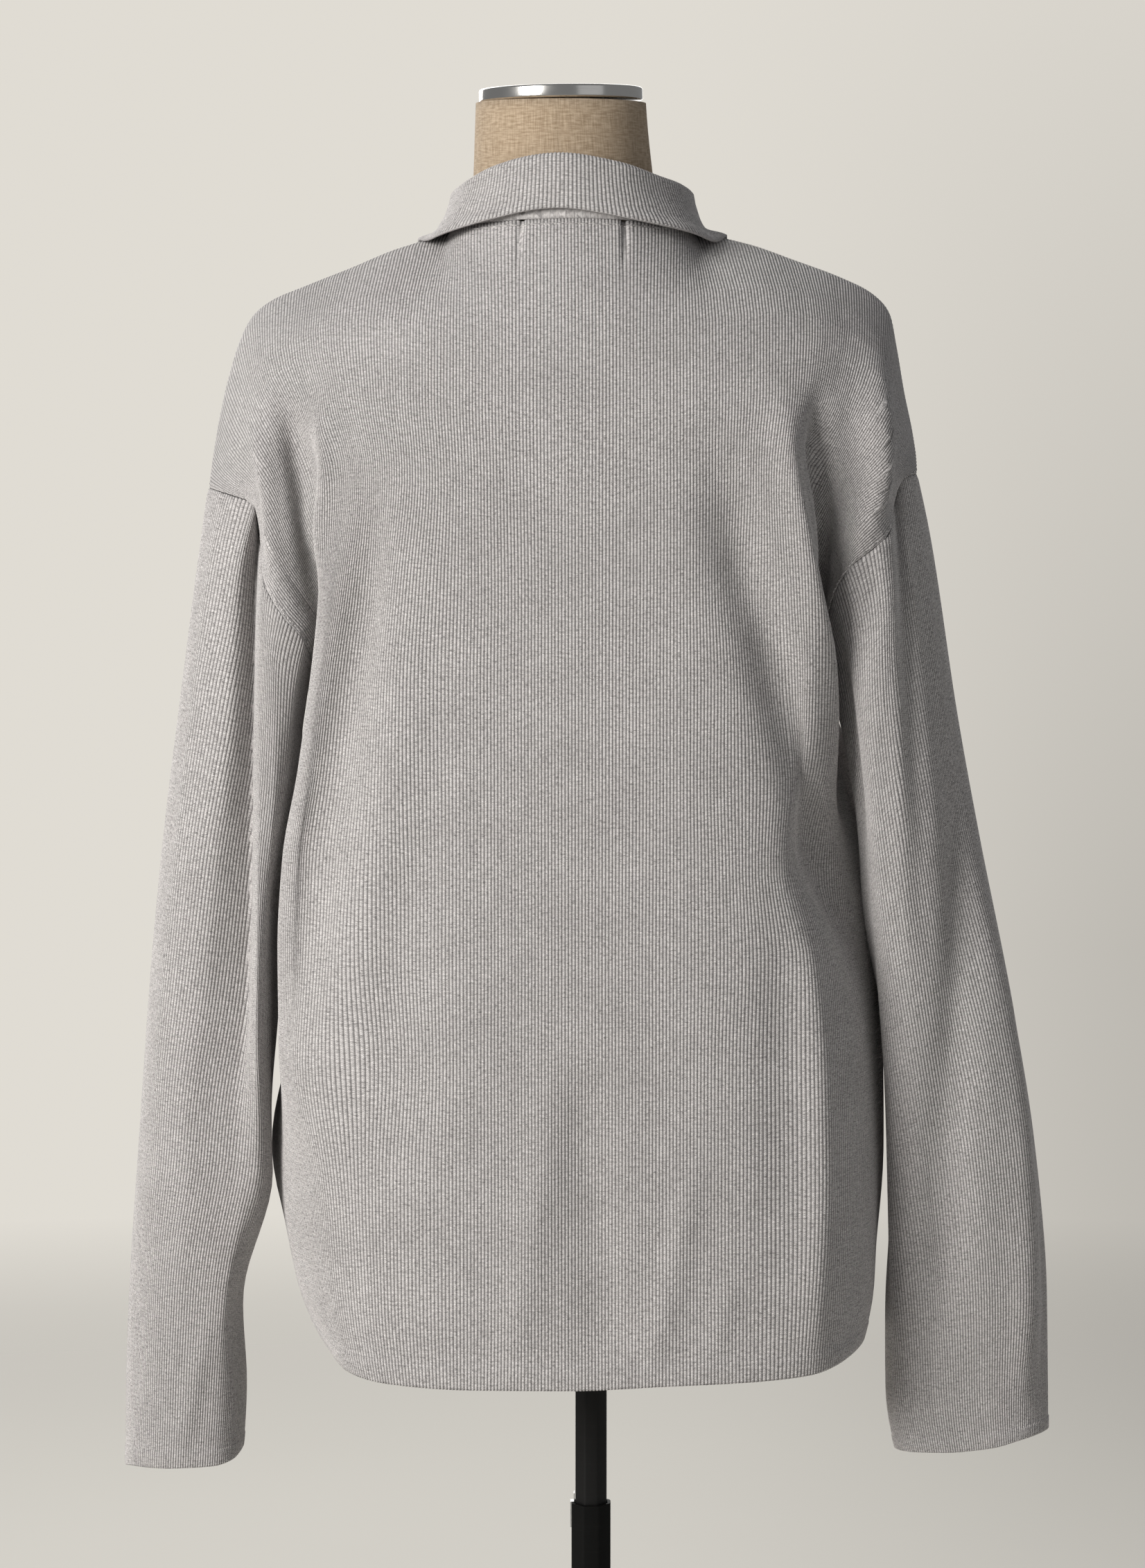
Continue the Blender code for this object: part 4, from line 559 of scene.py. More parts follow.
class Shader:
    """Short way to build the nodes of a material or of the air."""

    def __init__(self, owner: bpy.types.ID) -> None:
        """Switch on the owner's nodes.

        Args:
            owner: The material or world.
        """
        owner.use_nodes = True
        self.owner, self.tree = owner, owner.node_tree

    def node(self, kind: str, **inputs: object) -> Node:
        """Add a node.

        Args:
            kind: The node's type after "ShaderNode".
            **inputs: Values or sockets by input name, with _ for spaces, or by i and number.

        Returns:
            The node.
        """
        made = self.tree.nodes.new("ShaderNode" + kind)
        for name, value in inputs.items():
            numbered = name[0] == "i" and name[1:].isdigit()
            self.put(made.inputs[int(name[1:]) if numbered else name.replace("_", " ")], value)
        return made

    def put(self, socket: NodeSocket, value: object) -> None:
        """Set a socket to a value, or link it where the value is a socket.

        Args:
            socket: The input to fill.
            value: The value or socket.
        """
        if isinstance(value, NodeSocket):
            self.tree.links.new(value, socket)
        else:
            socket.default_value = value

    def math(self, operation: str, a: object, b: object = 0.0) -> NodeSocket:
        """Add a math node.

        Args:
            operation: The node's operation.
            a: First value or socket.
            b: Second value or socket.

        Returns:
            The result's socket.
        """
        made = self.node("Math", i0=a, i1=b)
        made.operation = operation
        return made.outputs[0]

    def mix(self, share: object, a: object, b: object) -> NodeSocket:
        """Mix two colours.

        Args:
            share: Share of the second colour, a value or socket.
            a: First colour or socket.
            b: Second colour or socket.

        Returns:
            The mixed colour's socket.
        """
        made = self.tree.nodes.new("ShaderNodeMix")
        made.data_type = "RGBA"
        for index, value in ((0, share), (6, a), (7, b)):
            self.put(made.inputs[index], value)
        return made.outputs[2]

    def times(self, a: object, b: object) -> NodeSocket:
        """Product of two values or sockets."""
        return self.math("MULTIPLY", a, b)

    def add(self, a: object, b: object) -> NodeSocket:
        """Sum of two values or sockets."""
        return self.math("ADD", a, b)

    def noise(self, vector: object, scale: float, detail: float, roughness: float) -> NodeSocket:
        """Noise value between about 0.3 and 0.7 over a vector socket."""
        made = self.node("TexNoise", Vector=vector, Scale=scale, Detail=detail, Roughness=roughness)
        return made.outputs[0]

    def streaks(self, vector: object, by: Row, *settings: float) -> NodeSocket:
        """Noise over a vector socket that is multiplied by three numbers.

        Args:
            vector: The vector socket.
            by: The three numbers.
            *settings: The noise's scale, detail and roughness.

        Returns:
            The noise value's socket.
        """
        scaled = self.node("VectorMath", i0=vector, i1=by)
        scaled.operation = "MULTIPLY"
        return self.noise(scaled.outputs[0], *settings)

    def spread(self, value: object, *limits: float) -> NodeSocket:
        """Map a value from the first two limits onto the last two, clamped."""
        return self.node("MapRange", i0=value, **{f"i{n}": x for n, x in enumerate(limits, 1)}).outputs[0]

    def bump(self, height: object, distance: float, strength: float) -> NodeSocket:
        """Normal socket of a bump."""
        return self.node("Bump", Height=height, Distance=distance, Strength=strength).outputs[0]

    def finish(self, **inputs: object) -> Material:
        """Set the shader's inputs.

        Args:
            **inputs: Values or sockets by input name, with _ for spaces.

        Returns:
            The finished material.
        """
        for name, value in inputs.items():
            self.put(self.tree.nodes["Principled BSDF"].inputs[name.replace("_", " ")], value)
        return self.owner


@dataclass(frozen=True)
class KnitFinish:
    """Grey marl yarn in a fine rib, read from the piece's wale and course counts, with painted shade in its
    rib grooves and between its stitch legs.
    """

    pale: Row = (0.755, 0.722, 0.710, 1.0)
    grey: Row = (0.310, 0.292, 0.286, 1.0)
    # Colour of the marl's dark flecks, also used as painted shade in the rib grooves and between the stitch
    # legs.
    fleck_and_shade: Row = (0.105, 0.099, 0.097, 1.0)
    roughness: float = 0.93
    sheen: float = 0.18
    stitch_depth: float = 0.0004
    # Share of the fleck colour painted into the rib grooves as shade.
    shade: float = 0.90

    def material(self, name: str, stitch: Stitch = Stitch.BODY) -> Material:
        """Build the knit.

        Args:
            name: The material's name.
            stitch: Body or band rib.

        Returns:
            The material.
        """
        s = Shader(bpy.data.materials.new(name))
        uv = s.node("UVMap")
        uv.uv_map = "knit"
        parts = s.node("SeparateXYZ", i0=uv.outputs[0])
        wale = s.times(parts.outputs[0], 1.0 if stitch is Stitch.BODY else 1.3)
        course = parts.outputs[1]
        # Two legs of each stitch slope up to the middle of the wale.
        off = s.math("ABSOLUTE", s.math("SUBTRACT", s.math("FRACT", wale), 0.5))
        leg = s.math("SINE", s.times(s.add(course, s.times(off, 1.5)), TURN))
        groove = s.spread(off, 0.24, 0.5, 0.0, 1.0)
        # Marl: single stitches, short runs along a course and wide clouds of two greys.
        place = s.node("CombineXYZ", i0=wale, i1=course).outputs[0]
        single = s.streaks(place, (1.05, 0.95, 1.0), 1.0, 2.0, 0.7)
        streak = s.streaks(place, (0.23, 0.85, 1.0), 1.0, 2.0, 0.6)
        cloud = s.streaks(place, (0.05, 0.04, 1.0), 1.0, 3.0, 0.6)
        dark = s.streaks(place, (0.62, 0.9, 1.0), 1.4, 1.0, 0.5)
        share = s.add(s.spread(single, 0.33, 0.67, 0.0, 0.55), s.spread(streak, 0.33, 0.67, 0.0, 0.35))
        share = s.add(share, s.spread(cloud, 0.3, 0.7, 0.0, 0.16))
        colour = s.mix(share, self.grey, self.pale)
        # The marl's dark streaks, then painted shade: the rib grooves and the hollows between stitch legs
        # are darkened towards the fleck colour.
        for amount in (s.spread(dark, 0.55, 0.72, 0.0, 0.6), s.times(groove, self.shade),
                       s.spread(leg, -1.0, -0.1, 0.28, 0.0)):
            colour = s.mix(amount, colour, self.fleck_and_shade)
        fuzz = s.noise(place, 4.0, 2.0, 0.7)
        height = s.add(s.times(leg, 0.32), s.times(fuzz, 0.9))
        height = s.math("SUBTRACT", height, s.times(groove, 0.9))
        return s.finish(
            Base_Color=colour, Roughness=self.roughness, Sheen_Weight=self.sheen, Sheen_Roughness=0.55,
            Sheen_Tint=(0.9, 0.9, 0.9, 1.0), Specular_IOR_Level=0.2,
            Normal=s.bump(height, self.stitch_depth, 0.75),
        )


@dataclass(frozen=True)
class LinenFinish:
    """Plain-woven natural linen with slubs, and painted shade in the hollows of its weave."""

    light: Row = (0.56, 0.44, 0.315, 1.0)
    dark: Row = (0.30, 0.215, 0.135, 1.0)
    threads_per_m: float = 900.0

    def material(self, name: str) -> Material:
        """Build the linen.

        Args:
            name: The material's name.

        Returns:
            The material.
        """
        s = Shader(bpy.data.materials.new(name))
        uv = s.node("UVMap")
        uv.uv_map = "weave"
        parts = s.node("SeparateXYZ", i0=uv.outputs[0])
        warp, weft = (
            s.math("SINE", s.times(s.times(part, self.threads_per_m), TURN)) for part in parts.outputs[:2])
        over = s.times(warp, weft)
        slub_u, slub_v = (
            s.streaks(uv.outputs[0], by, 1.0, 2.0, 0.6) for by in ((70.0, 900.0, 1.0), (900.0, 70.0, 1.0)))
        slub = s.times(s.add(slub_u, slub_v), 0.5)
        colour = s.mix(s.spread(slub, 0.38, 0.62, 0.0, 1.0), self.dark, self.light)
        # Painted shade: the low crossings of the weave are darkened.
        colour = s.mix(s.spread(over, -1.0, 0.2, 0.35, 0.0), colour, self.dark)
        height = s.add(s.times(over, 0.5), slub)
        return s.finish(
            Base_Color=colour, Roughness=0.9, Sheen_Weight=0.12, Specular_IOR_Level=0.25,
            Normal=s.bump(height, 0.0003, 0.8),
        )


@dataclass(frozen=True)
class MetalFinish:
    """Smooth metal or lacquer with faint scratches and handling marks."""

    colour: Row
    worn: Row
    roughness: float
    metallic: float
    specular: float = 0.5
    grain: Row = (30.0, 30.0, 500.0)

    def material(self, name: str) -> Material:
        """Build the metal.

        Args:
            name: The material's name.

        Returns:
            The material.
        """
        s = Shader(bpy.data.materials.new(name))
        place = s.node("TexCoord").outputs["Object"]
        marks = s.streaks(place, self.grain, 1.0, 4.0, 0.7)
        haze = s.noise(place, 26.0, 3.0, 0.6)
        colour = s.mix(s.spread(marks, 0.55, 0.78, 0.0, 0.5), self.colour, self.worn)
        rough = s.add(s.spread(haze, 0.3, 0.7, -0.05, 0.07), self.roughness)
        return s.finish(
            Base_Color=colour, Roughness=rough, Metallic=self.metallic,
            Specular_IOR_Level=self.specular, Normal=s.bump(marks, 0.00006, 0.35),
        )


@dataclass(frozen=True)
class ButtonFinish:
    """Grey corozo-like button with a faint grain."""

    pale: Row = (0.36, 0.35, 0.34, 1.0)
    deep: Row = (0.20, 0.195, 0.19, 1.0)

    def material(self, name: str) -> Material:
        """Build the button's finish.

        Args:
            name: The material's name.

        Returns:
            The material.
        """
        s = Shader(bpy.data.materials.new(name))
        place = s.node("TexCoord").outputs["Object"]
        grain = s.streaks(place, (220.0, 900.0, 260.0), 1.0, 4.0, 0.6)
        colour = s.mix(s.spread(grain, 0.35, 0.65, 0.0, 1.0), self.deep, self.pale)
        return s.finish(Base_Color=colour, Roughness=0.38, Normal=s.bump(grain, 0.00005, 0.4))


@dataclass(frozen=True)
class PaperFinish:
    """Matt pale studio paper that fades out round the object."""

    tone: Row
    near: float = 1.6
    far: float = 4.4

    def material(self, name: str) -> Material:
        """Build the paper.

        Args:
            name: The material's name.

        Returns:
            The material.
        """
        s = Shader(bpy.data.materials.new(name))
        place = s.node("TexCoord").outputs["Object"]
        away = s.node("VectorMath", Vector=place)
        away.operation = "LENGTH"
        grain = s.noise(place, 3.0, 3.0, 0.5)
        deep = tuple(c * 0.97 for c in self.tone[:3]) + (1.0,)
        return s.finish(
            Base_Color=s.mix(grain, deep, self.tone), Roughness=0.9,
            Alpha=s.spread(away.outputs["Value"], self.near, self.far, 1.0, 0.0),
        )


# ---------------------------------------------------------------- meshes

def linked(name: str, data: bpy.types.ID) -> Object:
    """Object of a mesh, lamp or camera, linked to the scene.

    Args:
        name: The object's name.
        data: What it shows.

    Returns:
        The object.
    """
    obj = bpy.data.objects.new(name, data)
    bpy.context.scene.collection.objects.link(obj)
    return obj


def worked_object(name: str, work: bmesh.types.BMesh, smooth: bool = True) -> Object:
    """Object of a worked mesh, which is then freed.

    Args:
        name: The object's name.
        work: The worked mesh.
        smooth: Whether its faces are smooth shaded.

    Returns:
        The object.
    """
    mesh = bpy.data.meshes.new(name)
    work.to_mesh(mesh)
    work.free()
    for face in mesh.polygons:
        face.use_smooth = smooth
    return linked(name, mesh)


def fast_mesh(name: str, verts: ndarray, groups: list[ndarray], uvs: list[ndarray],
              layer: str = "knit") -> Object:
    """Object from points and faces, a group for each number of corners.

    Args:
        name: The object's name.
        verts: Points.
        groups: Arrays of point numbers, one row a face.
        uvs: For each group, two texture coordinates a face corner.
        layer: Name of the texture coordinates.

    Returns:
        The object, smooth shaded and linked to the scene.
    """
    corners = np.concatenate([g.ravel() for g in groups]).astype(np.int32)
    sizes = np.concatenate([np.full(len(g), g.shape[1]) for g in groups])
    starts = np.concatenate([[0], np.cumsum(sizes)[:-1]]).astype(np.int32)
    mesh = bpy.data.meshes.new(name)
    mesh.vertices.add(len(verts))
    mesh.vertices.foreach_set("co", verts.astype(np.float32).ravel())
    mesh.loops.add(len(corners))
    mesh.loops.foreach_set("vertex_index", corners)
    mesh.polygons.add(len(starts))
    mesh.polygons.foreach_set("loop_start", starts)
    mesh.update(calc_edges=True)
    mesh.polygons.foreach_set("use_smooth", np.ones(len(starts), bool))
    flat = np.concatenate([u.reshape(-1, 2) for u in uvs]).astype(np.float32)
    mesh.uv_layers.new(name=layer).data.foreach_set("uv", flat.ravel())
    return linked(name, mesh)


def quads_of(rows: int, cols: int, wrap: bool, start: int = 0) -> ndarray:
    """Point numbers of a grid's quads.

    Args:
        rows: Rows of points.
        cols: Columns of points.
        wrap: Whether the last column meets the first.
        start: Number of the first point.

    Returns:
        Quads by row then column.
    """
    i, j = np.meshgrid(np.arange(rows - 1), np.arange(cols if wrap else cols - 1), indexing="ij")
    k = (j + 1) % cols
    a, b, c, d = i * cols + j, i * cols + k, (i + 1) * cols + k, (i + 1) * cols + j
    return (np.stack([a, b, c, d], axis=2) + start).reshape(-1, 4)


def turned_mesh(name: str, profile: list[tuple[float, float]], segments: int) -> Object:
    """Object turned about Z from a profile that starts and ends on the axis.

    Args:
        name: The object's name.
        profile: Pairs of radius and height.
        segments: Steps round.

    Returns:
        The object.
    """
    work = bmesh.new()
    loops: list[list[bmesh.types.BMVert]] = []
    for radius, height in profile:
        if radius == 0.0:
            loops.append([work.verts.new((0.0, 0.0, height))])
            continue
        turns = [TURN * j / segments for j in range(segments)]
        loops.append([work.verts.new((radius * math.cos(t), radius * math.sin(t), height)) for t in turns])
    for low, high in zip(loops, loops[1:]):
        for j in range(segments):
            k = (j + 1) % segments
            ring = [low[j % len(low)], low[k % len(low)], high[k % len(high)], high[j % len(high)]]
            unique = list(dict.fromkeys(ring))
            if len(unique) > 2:
                work.faces.new(unique)
    bmesh.ops.recalc_face_normals(work, faces=work.faces)
    return worked_object(name, work)


def settle(obj: Object, finish: Material, body: str, node: str = "") -> None:
    """Dress a piece, make it ride and hide the node it stands for.

    Args:
        obj: The finished object.
        finish: Its material.
        body: The body it rides on.
        node: The node it stands for, if any.
    """
    obj.data.materials.append(finish)
    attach(obj, body)
    if node:
        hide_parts(node)
    log.info("%s: %d faces", obj.name, len(obj.data.polygons))


@dataclass
class KnitShell:
    """Closed thin shell over a grid of points, with its wales raised on the outer face.

    Thickness and rib height are in millimetres, and so is the height of a course.
    """

    name: str
    grid: ndarray
    normal: ndarray
    wales: float
    course: float = 1.30
    wrap: bool = False
    thickness: float = 1.5
    rib: float = 0.50
    step: int = 8

    def __post_init__(self) -> None:
        """Count the rows, columns and steps, and number the first points of the inner face."""
        self.rows, self.cols, _ = self.grid.shape
        self.count = self.cols if self.wrap else self.cols - 1
        self.picks = np.arange(0, self.count, self.step)
        if not self.wrap:
            self.picks = np.append(self.picks, self.count)
        self.wide = len(self.picks)
        self.low = self.rows * self.cols
        self.high = self.low + self.cols
        self.middle = self.high + self.cols

    def build(self) -> Object:
        """Build the outer face, a plain inner face and the rims between them.

        Returns:
            The object.
        """
        phase = (np.arange(self.cols) * self.wales / self.count) % 1.0
        lift = (np.sin(math.pi * phase) ** 1.1 - 0.6) * self.rib * MM
        outer = self.grid + self.normal * lift[None, :, None]
        inner = self.grid - self.normal * self.thickness * MM
        points = np.concatenate([
            outer.reshape(-1, 3), inner[0], inner[-1], inner[1:-1][:, self.picks].reshape(-1, 3)])
        outer_faces = quads_of(self.rows, self.cols, self.wrap)
        inner_faces = quads_of(self.rows - 2, self.wide, self.wrap, self.middle)[:, ::-1]
        j = np.arange(self.count)
        k = (j + 1) % self.cols
        end = self.low - self.cols
        rims = [np.stack([self.low + j, self.low + k, k, j], axis=1),
                np.stack([end + j, end + k, self.high + k, self.high + j], axis=1)]
        if not self.wrap:
            rims += self.side_rims()
        groups = [outer_faces, inner_faces, np.concatenate(rims), *self.fans(False), *self.fans(True)]
        uvs = [self.counts(outer_faces), *(self.plain_counts(group) for group in groups[1:])]
        a, b, c = points[outer_faces[0, :3]]
        if np.dot(np.cross(b - a, c - b), self.normal[0, 0]) < 0:
            groups = [g[:, ::-1] for g in groups]
            uvs = [u[:, ::-1] for u in uvs]
        return fast_mesh(self.name, points, groups, uvs)

    def fans(self, high: bool) -> list[ndarray]:
        """Faces between a fine edge of the inner face and its next, coarse row.

        Args:
            high: Whether the edge is the upper one.

        Returns:
            Arrays of faces by number of corners.
        """
        edge = self.high if high else self.low
        row = self.middle + (self.rows - 3) * self.wide * high
        made: dict[int, list[list[int]]] = {}
        stops = [*self.picks, self.count] if self.wrap else list(self.picks)
        for n, (a, b) in enumerate(zip(stops, stops[1:])):
            fine = [edge + j % self.cols for j in range(a, b + 1)]
            face = fine[::-1] + [row + n, row + (n + 1) % self.wide]
            made.setdefault(len(face), []).append(face[::-1] if high else face)
        return [np.array(faces) for faces in made.values()]

    def side_rims(self) -> list[ndarray]:
        """Rims along the first and the last column.

        Returns:
            Arrays of quads.
        """
        i, made = np.arange(self.rows - 1), []
        coarse = self.middle + np.arange(self.rows - 2) * self.wide
        for j, n, turn in ((0, 0, False), (self.cols - 1, self.wide - 1, True)):
            inner = np.concatenate([[self.low + j], coarse + n, [self.high + j]])
            strip = np.stack([i * self.cols + j, (i + 1) * self.cols + j, inner[i + 1], inner[i]], axis=1)
            made.append(strip[:, ::-1] if turn else strip)
        return made

    def counts(self, face: ndarray) -> ndarray:
        """Wale and course counts at the corners of the outer faces.

        Args:
            face: The outer faces.

        Returns:
            Two numbers a corner.
        """
        along = lengths_up(self.grid) / (self.course * MM)
        u = (face % self.cols) * (self.wales / self.count)
        if self.wrap:
            u = np.where(u < u[:, :1] - self.wales / 2, u + self.wales, u)
            u = np.where(u > u[:, :1] + self.wales / 2, u - self.wales, u)
        return np.stack([u, along[face // self.cols]], axis=2)

    def plain_counts(self, face: ndarray) -> ndarray:
        """Wale and course counts of the faces that are not ribbed: one wale a face.

        Args:
            face: The faces.

        Returns:
            Two numbers a corner.
        """
        number = np.arange(len(face))[:, None]
        turn = np.linspace(0.0, 1.0, face.shape[1], endpoint=False)[None, :]
        u = number % 89 + 0.5 + 0.3 * np.cos(TURN * turn)
        v = number // 89 * 3.0 + 1.2 * np.sin(TURN * turn)
        return np.stack([u, v], axis=2)


# ---------------------------------------------------------------- knitted pieces

@dataclass(frozen=True)
class Crease:
    """Soft trough (depth below 0) or ridge along a line in a piece's flat sizes, mm."""

    line: Table
    width: float
    depth: float

    def height(self, u: ndarray, v: ndarray) -> ndarray:
        """Height at flat places, none at the line's ends.

        Args:
            u: Flat widths, mm.
            v: Flat heights, mm.

        Returns:
            Heights in millimetres.
        """
        u, v = np.broadcast_arrays(u, v)
        near, share, run = np.full(u.shape, np.inf), np.zeros(u.shape), 0.0
        total = sum(math.dist(a, b) for a, b in zip(self.line, self.line[1:]))
        for a, b in zip(self.line, self.line[1:]):
            du, dv, length = b[0] - a[0], b[1] - a[1], math.dist(a, b)
            along = np.clip(((u - a[0]) * du + (v - a[1]) * dv) / length ** 2, 0.0, 1.0)
            off = np.hypot(u - a[0] - along * du, v - a[1] - along * dv)
            closer = off < near
            near = np.where(closer, off, near)
            share = np.where(closer, (run + along * length) / total, share)
            run += length
        ends = soft_step(share / 0.3) * soft_step((1.0 - share) / 0.3)
        return self.depth * dip(near, self.width) * ends


def creases(*rows: Row) -> tuple[Crease, ...]:
    """Creases of rows that give width, depth and then u and v of each point."""
    return tuple(Crease(tuple(zip(row[2::2], row[3::2])), *row[:2]) for row in rows)


def outward(grid: ndarray, wrap: bool = False) -> ndarray:
    """Unit normals that point away from a tube's inside, or from the body's middle.

    Args:
        grid: Points by row and column.
        wrap: Whether the piece is a tube.

    Returns:
        A normal for each point.
    """
    normal = grid_normals(grid, wrap)
    i, j = grid.shape[0] // 2, 0 if wrap else grid.shape[1] // 2
    centre = grid[i].mean(axis=0) if wrap else grid[i, j] * (0.0, 0.0, 1.0)
    return normal if np.dot(grid[i, j] - centre, normal[i, j]) > 0 else -normal


@dataclass
class KnitPiece:
    """What every knitted piece has: its name, wales, creases, waviness and edges, in millimetres."""

    node: str
    wales: int
    creases: tuple[Crease, ...] = ()
    wave: float = 0.5
    wave_size: float = 70.0
    seed: int = 1
    seam_fade: float = 40.0
    edge_fade: float = 60.0
    band_rise: float = 0.45
    edge_roll: float = 0.25
    seam_groove: float = 0.6
    seam_width: float = 2.4

    def shell(self, grid: ndarray, normal: ndarray, **sizes: float) -> Object:
        """Ribbed shell of the piece on its grid and normals."""
        return KnitShell(f"{self.node}_knit", grid, normal, self.wales, **sizes).build()

    def quiet(self, under_seam: ndarray, over_edge: ndarray) -> ndarray:
        """Share of the creases that is left this far under the seam and over the free edge."""
        return soft_step(under_seam / self.seam_fade) * soft_step(over_edge / self.edge_fade + 0.35)

    def edge_band(self, over_edge: ndarray, depth: float) -> ndarray:
        """Heights of the raised band along the free edge and of its rolled last row."""
        band = np.where(over_edge <= depth, self.band_rise, 0.0)
        return band - np.where(over_edge <= 0.0, self.edge_roll, 0.0)

    def relief(self, u: ndarray, v: ndarray, period: float = 0.0) -> ndarray:
        """Height in millimetres of the creases and the waviness.

        Args:
            u: Flat widths, mm.
            v: Flat heights, mm.
            period: Flat width once round, for a tube.

        Returns:
            Heights.
        """
        total = np.zeros(np.broadcast(u, v).shape)
        shifts = (-period, 0.0, period) if period else (0.0,)
        for crease in self.creases:
            for shift in shifts:
                total += crease.height(u + shift, v)
        if period:
            turn = TURN * u / period
            ripple = swell(40.0 * np.cos(turn), v, self.seed, self.wave_size)
            ripple += swell(40.0 * np.sin(turn), v + 90.0, self.seed + 5, self.wave_size)
            return total + ripple * self.wave * 0.7
        return total + swell(u, v, self.seed, self.wave_size) * self.wave


# Folds and hollows of each piece: width, depth, then u and v of each point in its flat sizes, all in mm.
BACK_CREASES = creases(
    (13, 7, 168, 190, 181, 150, 191, 107, 200, 60),
    (13, -10, 206, 215, 216, 177, 228, 130, 248, 95, 290, 62),
    (10, 4.5, 232, 225, 249, 190, 262, 165, 279, 130, 312, 86),
    (17, -8, 150, 150, 138, 118, 132, 72, 136, 25, 142, -22, 152, -92, 156, -151, 168, -244),
    (18, 6.5, 101, 80, 101, 48, 104, -22, 110, -80, 123, -139, 138, -221, 152, -340),
    (16, -4.2, -4, -220, -8, -268, -14, -326, -18, -373, -23, -450),
    (12, 2.6, 8, -220, 18, -300, 31, -373, 42, -440),
    (9, 2.6, -74, -285, -66, -338, -58, -373, -44, -430),
    (7, 1.5, -100, -350, -88, -396, -76, -430),
    (10, 3.6, -130, -110, -138, -185, -142, -233, -143, -300, -141, -360, -138, -430),
    (13, -3, -112, -130, -122, -200, -124, -280, -120, -380),
    (20, -14, -74, 170, -94, 118, -108, 72, -121, 40, -132, -5, -146, -50, -163, -105, -186, -150, -214,
     -200),
    (13, 8, -116, 205, -134, 160, -151, 110, -163, 60, -176, 10, -192, -50, -210, -110),
    (12, -11, -150, 190, -180, 145, -205, 107, -250, 80, -300, 50),
    (15, 9, -196, 228, -226, 194, -264, 162, -326, 116),
    (18, 4.5, -262, 10, -266, -75, -264, -170),
)
NECK_PUCKERS = creases(
    (2, -2.6, 29, 258, 30, 249, 33, 240),
    (2, -2.6, -31, 258, -32, 249, -31, 240),
)
FRONT_CREASES = creases(
    (12, 3, 165, 190, 182, 120, 190, 40, 186, -60),
    (15, -3.2, 142, 150, 136, 60, 142, -40, 152, -150, 160, -240),
    (13, 2.6, 104, 40, 110, -80, 126, -200, 146, -330),
    (14, -2.2, 60, -230, 52, -330, 44, -440),
    (13, -4.5, 215, 190, 236, 110, 290, 60),
)
SLEEVE_FRONT_CREASES = creases(
    (14, -4, 232, 30, 238, -90, 244, -220),
    (16, -2.4, 285, -140, 278, -300, 270, -440),
)
SLEEVE_LEFT_CREASES = creases(
    (24, 5, 164, 60, 166, -50, 166, -130, 164, -230),
    (14, -1.6, 60, -120, 66, -240, 72, -360, 84, -470),
    (8, 1.8, 96, -500, 86, -550, 74, -620),
    (10, -1.4, 40, -430, 36, -520, 34, -600),
) + SLEEVE_FRONT_CREASES
SLEEVE_RIGHT_CREASES = creases(
    (9, -3, 132, 50, 126, -15, 124, -80, 128, -140, 130, -190),
    (25, 9.5, 166, 80, 168, -20, 168, -180, 166, -320),
    (16, 3, 86, 30, 82, -60, 78, -150, 76, -260),
    (9, 2.2, 34, 20, 43, -30, 49, -81, 58, -175, 62, -230),
    (16, -8.5, 28, -110, 38, -205, 54, -268, 72, -331, 88, -383, 104, -455, 122, -580),
    (14, 4.5, 20, -210, 26, -320, 33, -400, 38, -500, 42, -600),
    (10, 2.4, 128, -240, 122, -330, 134, -430, 146, -560),
    (10, -1.6, 16, -420, 14, -520, 18, -610),
) + SLEEVE_FRONT_CREASES


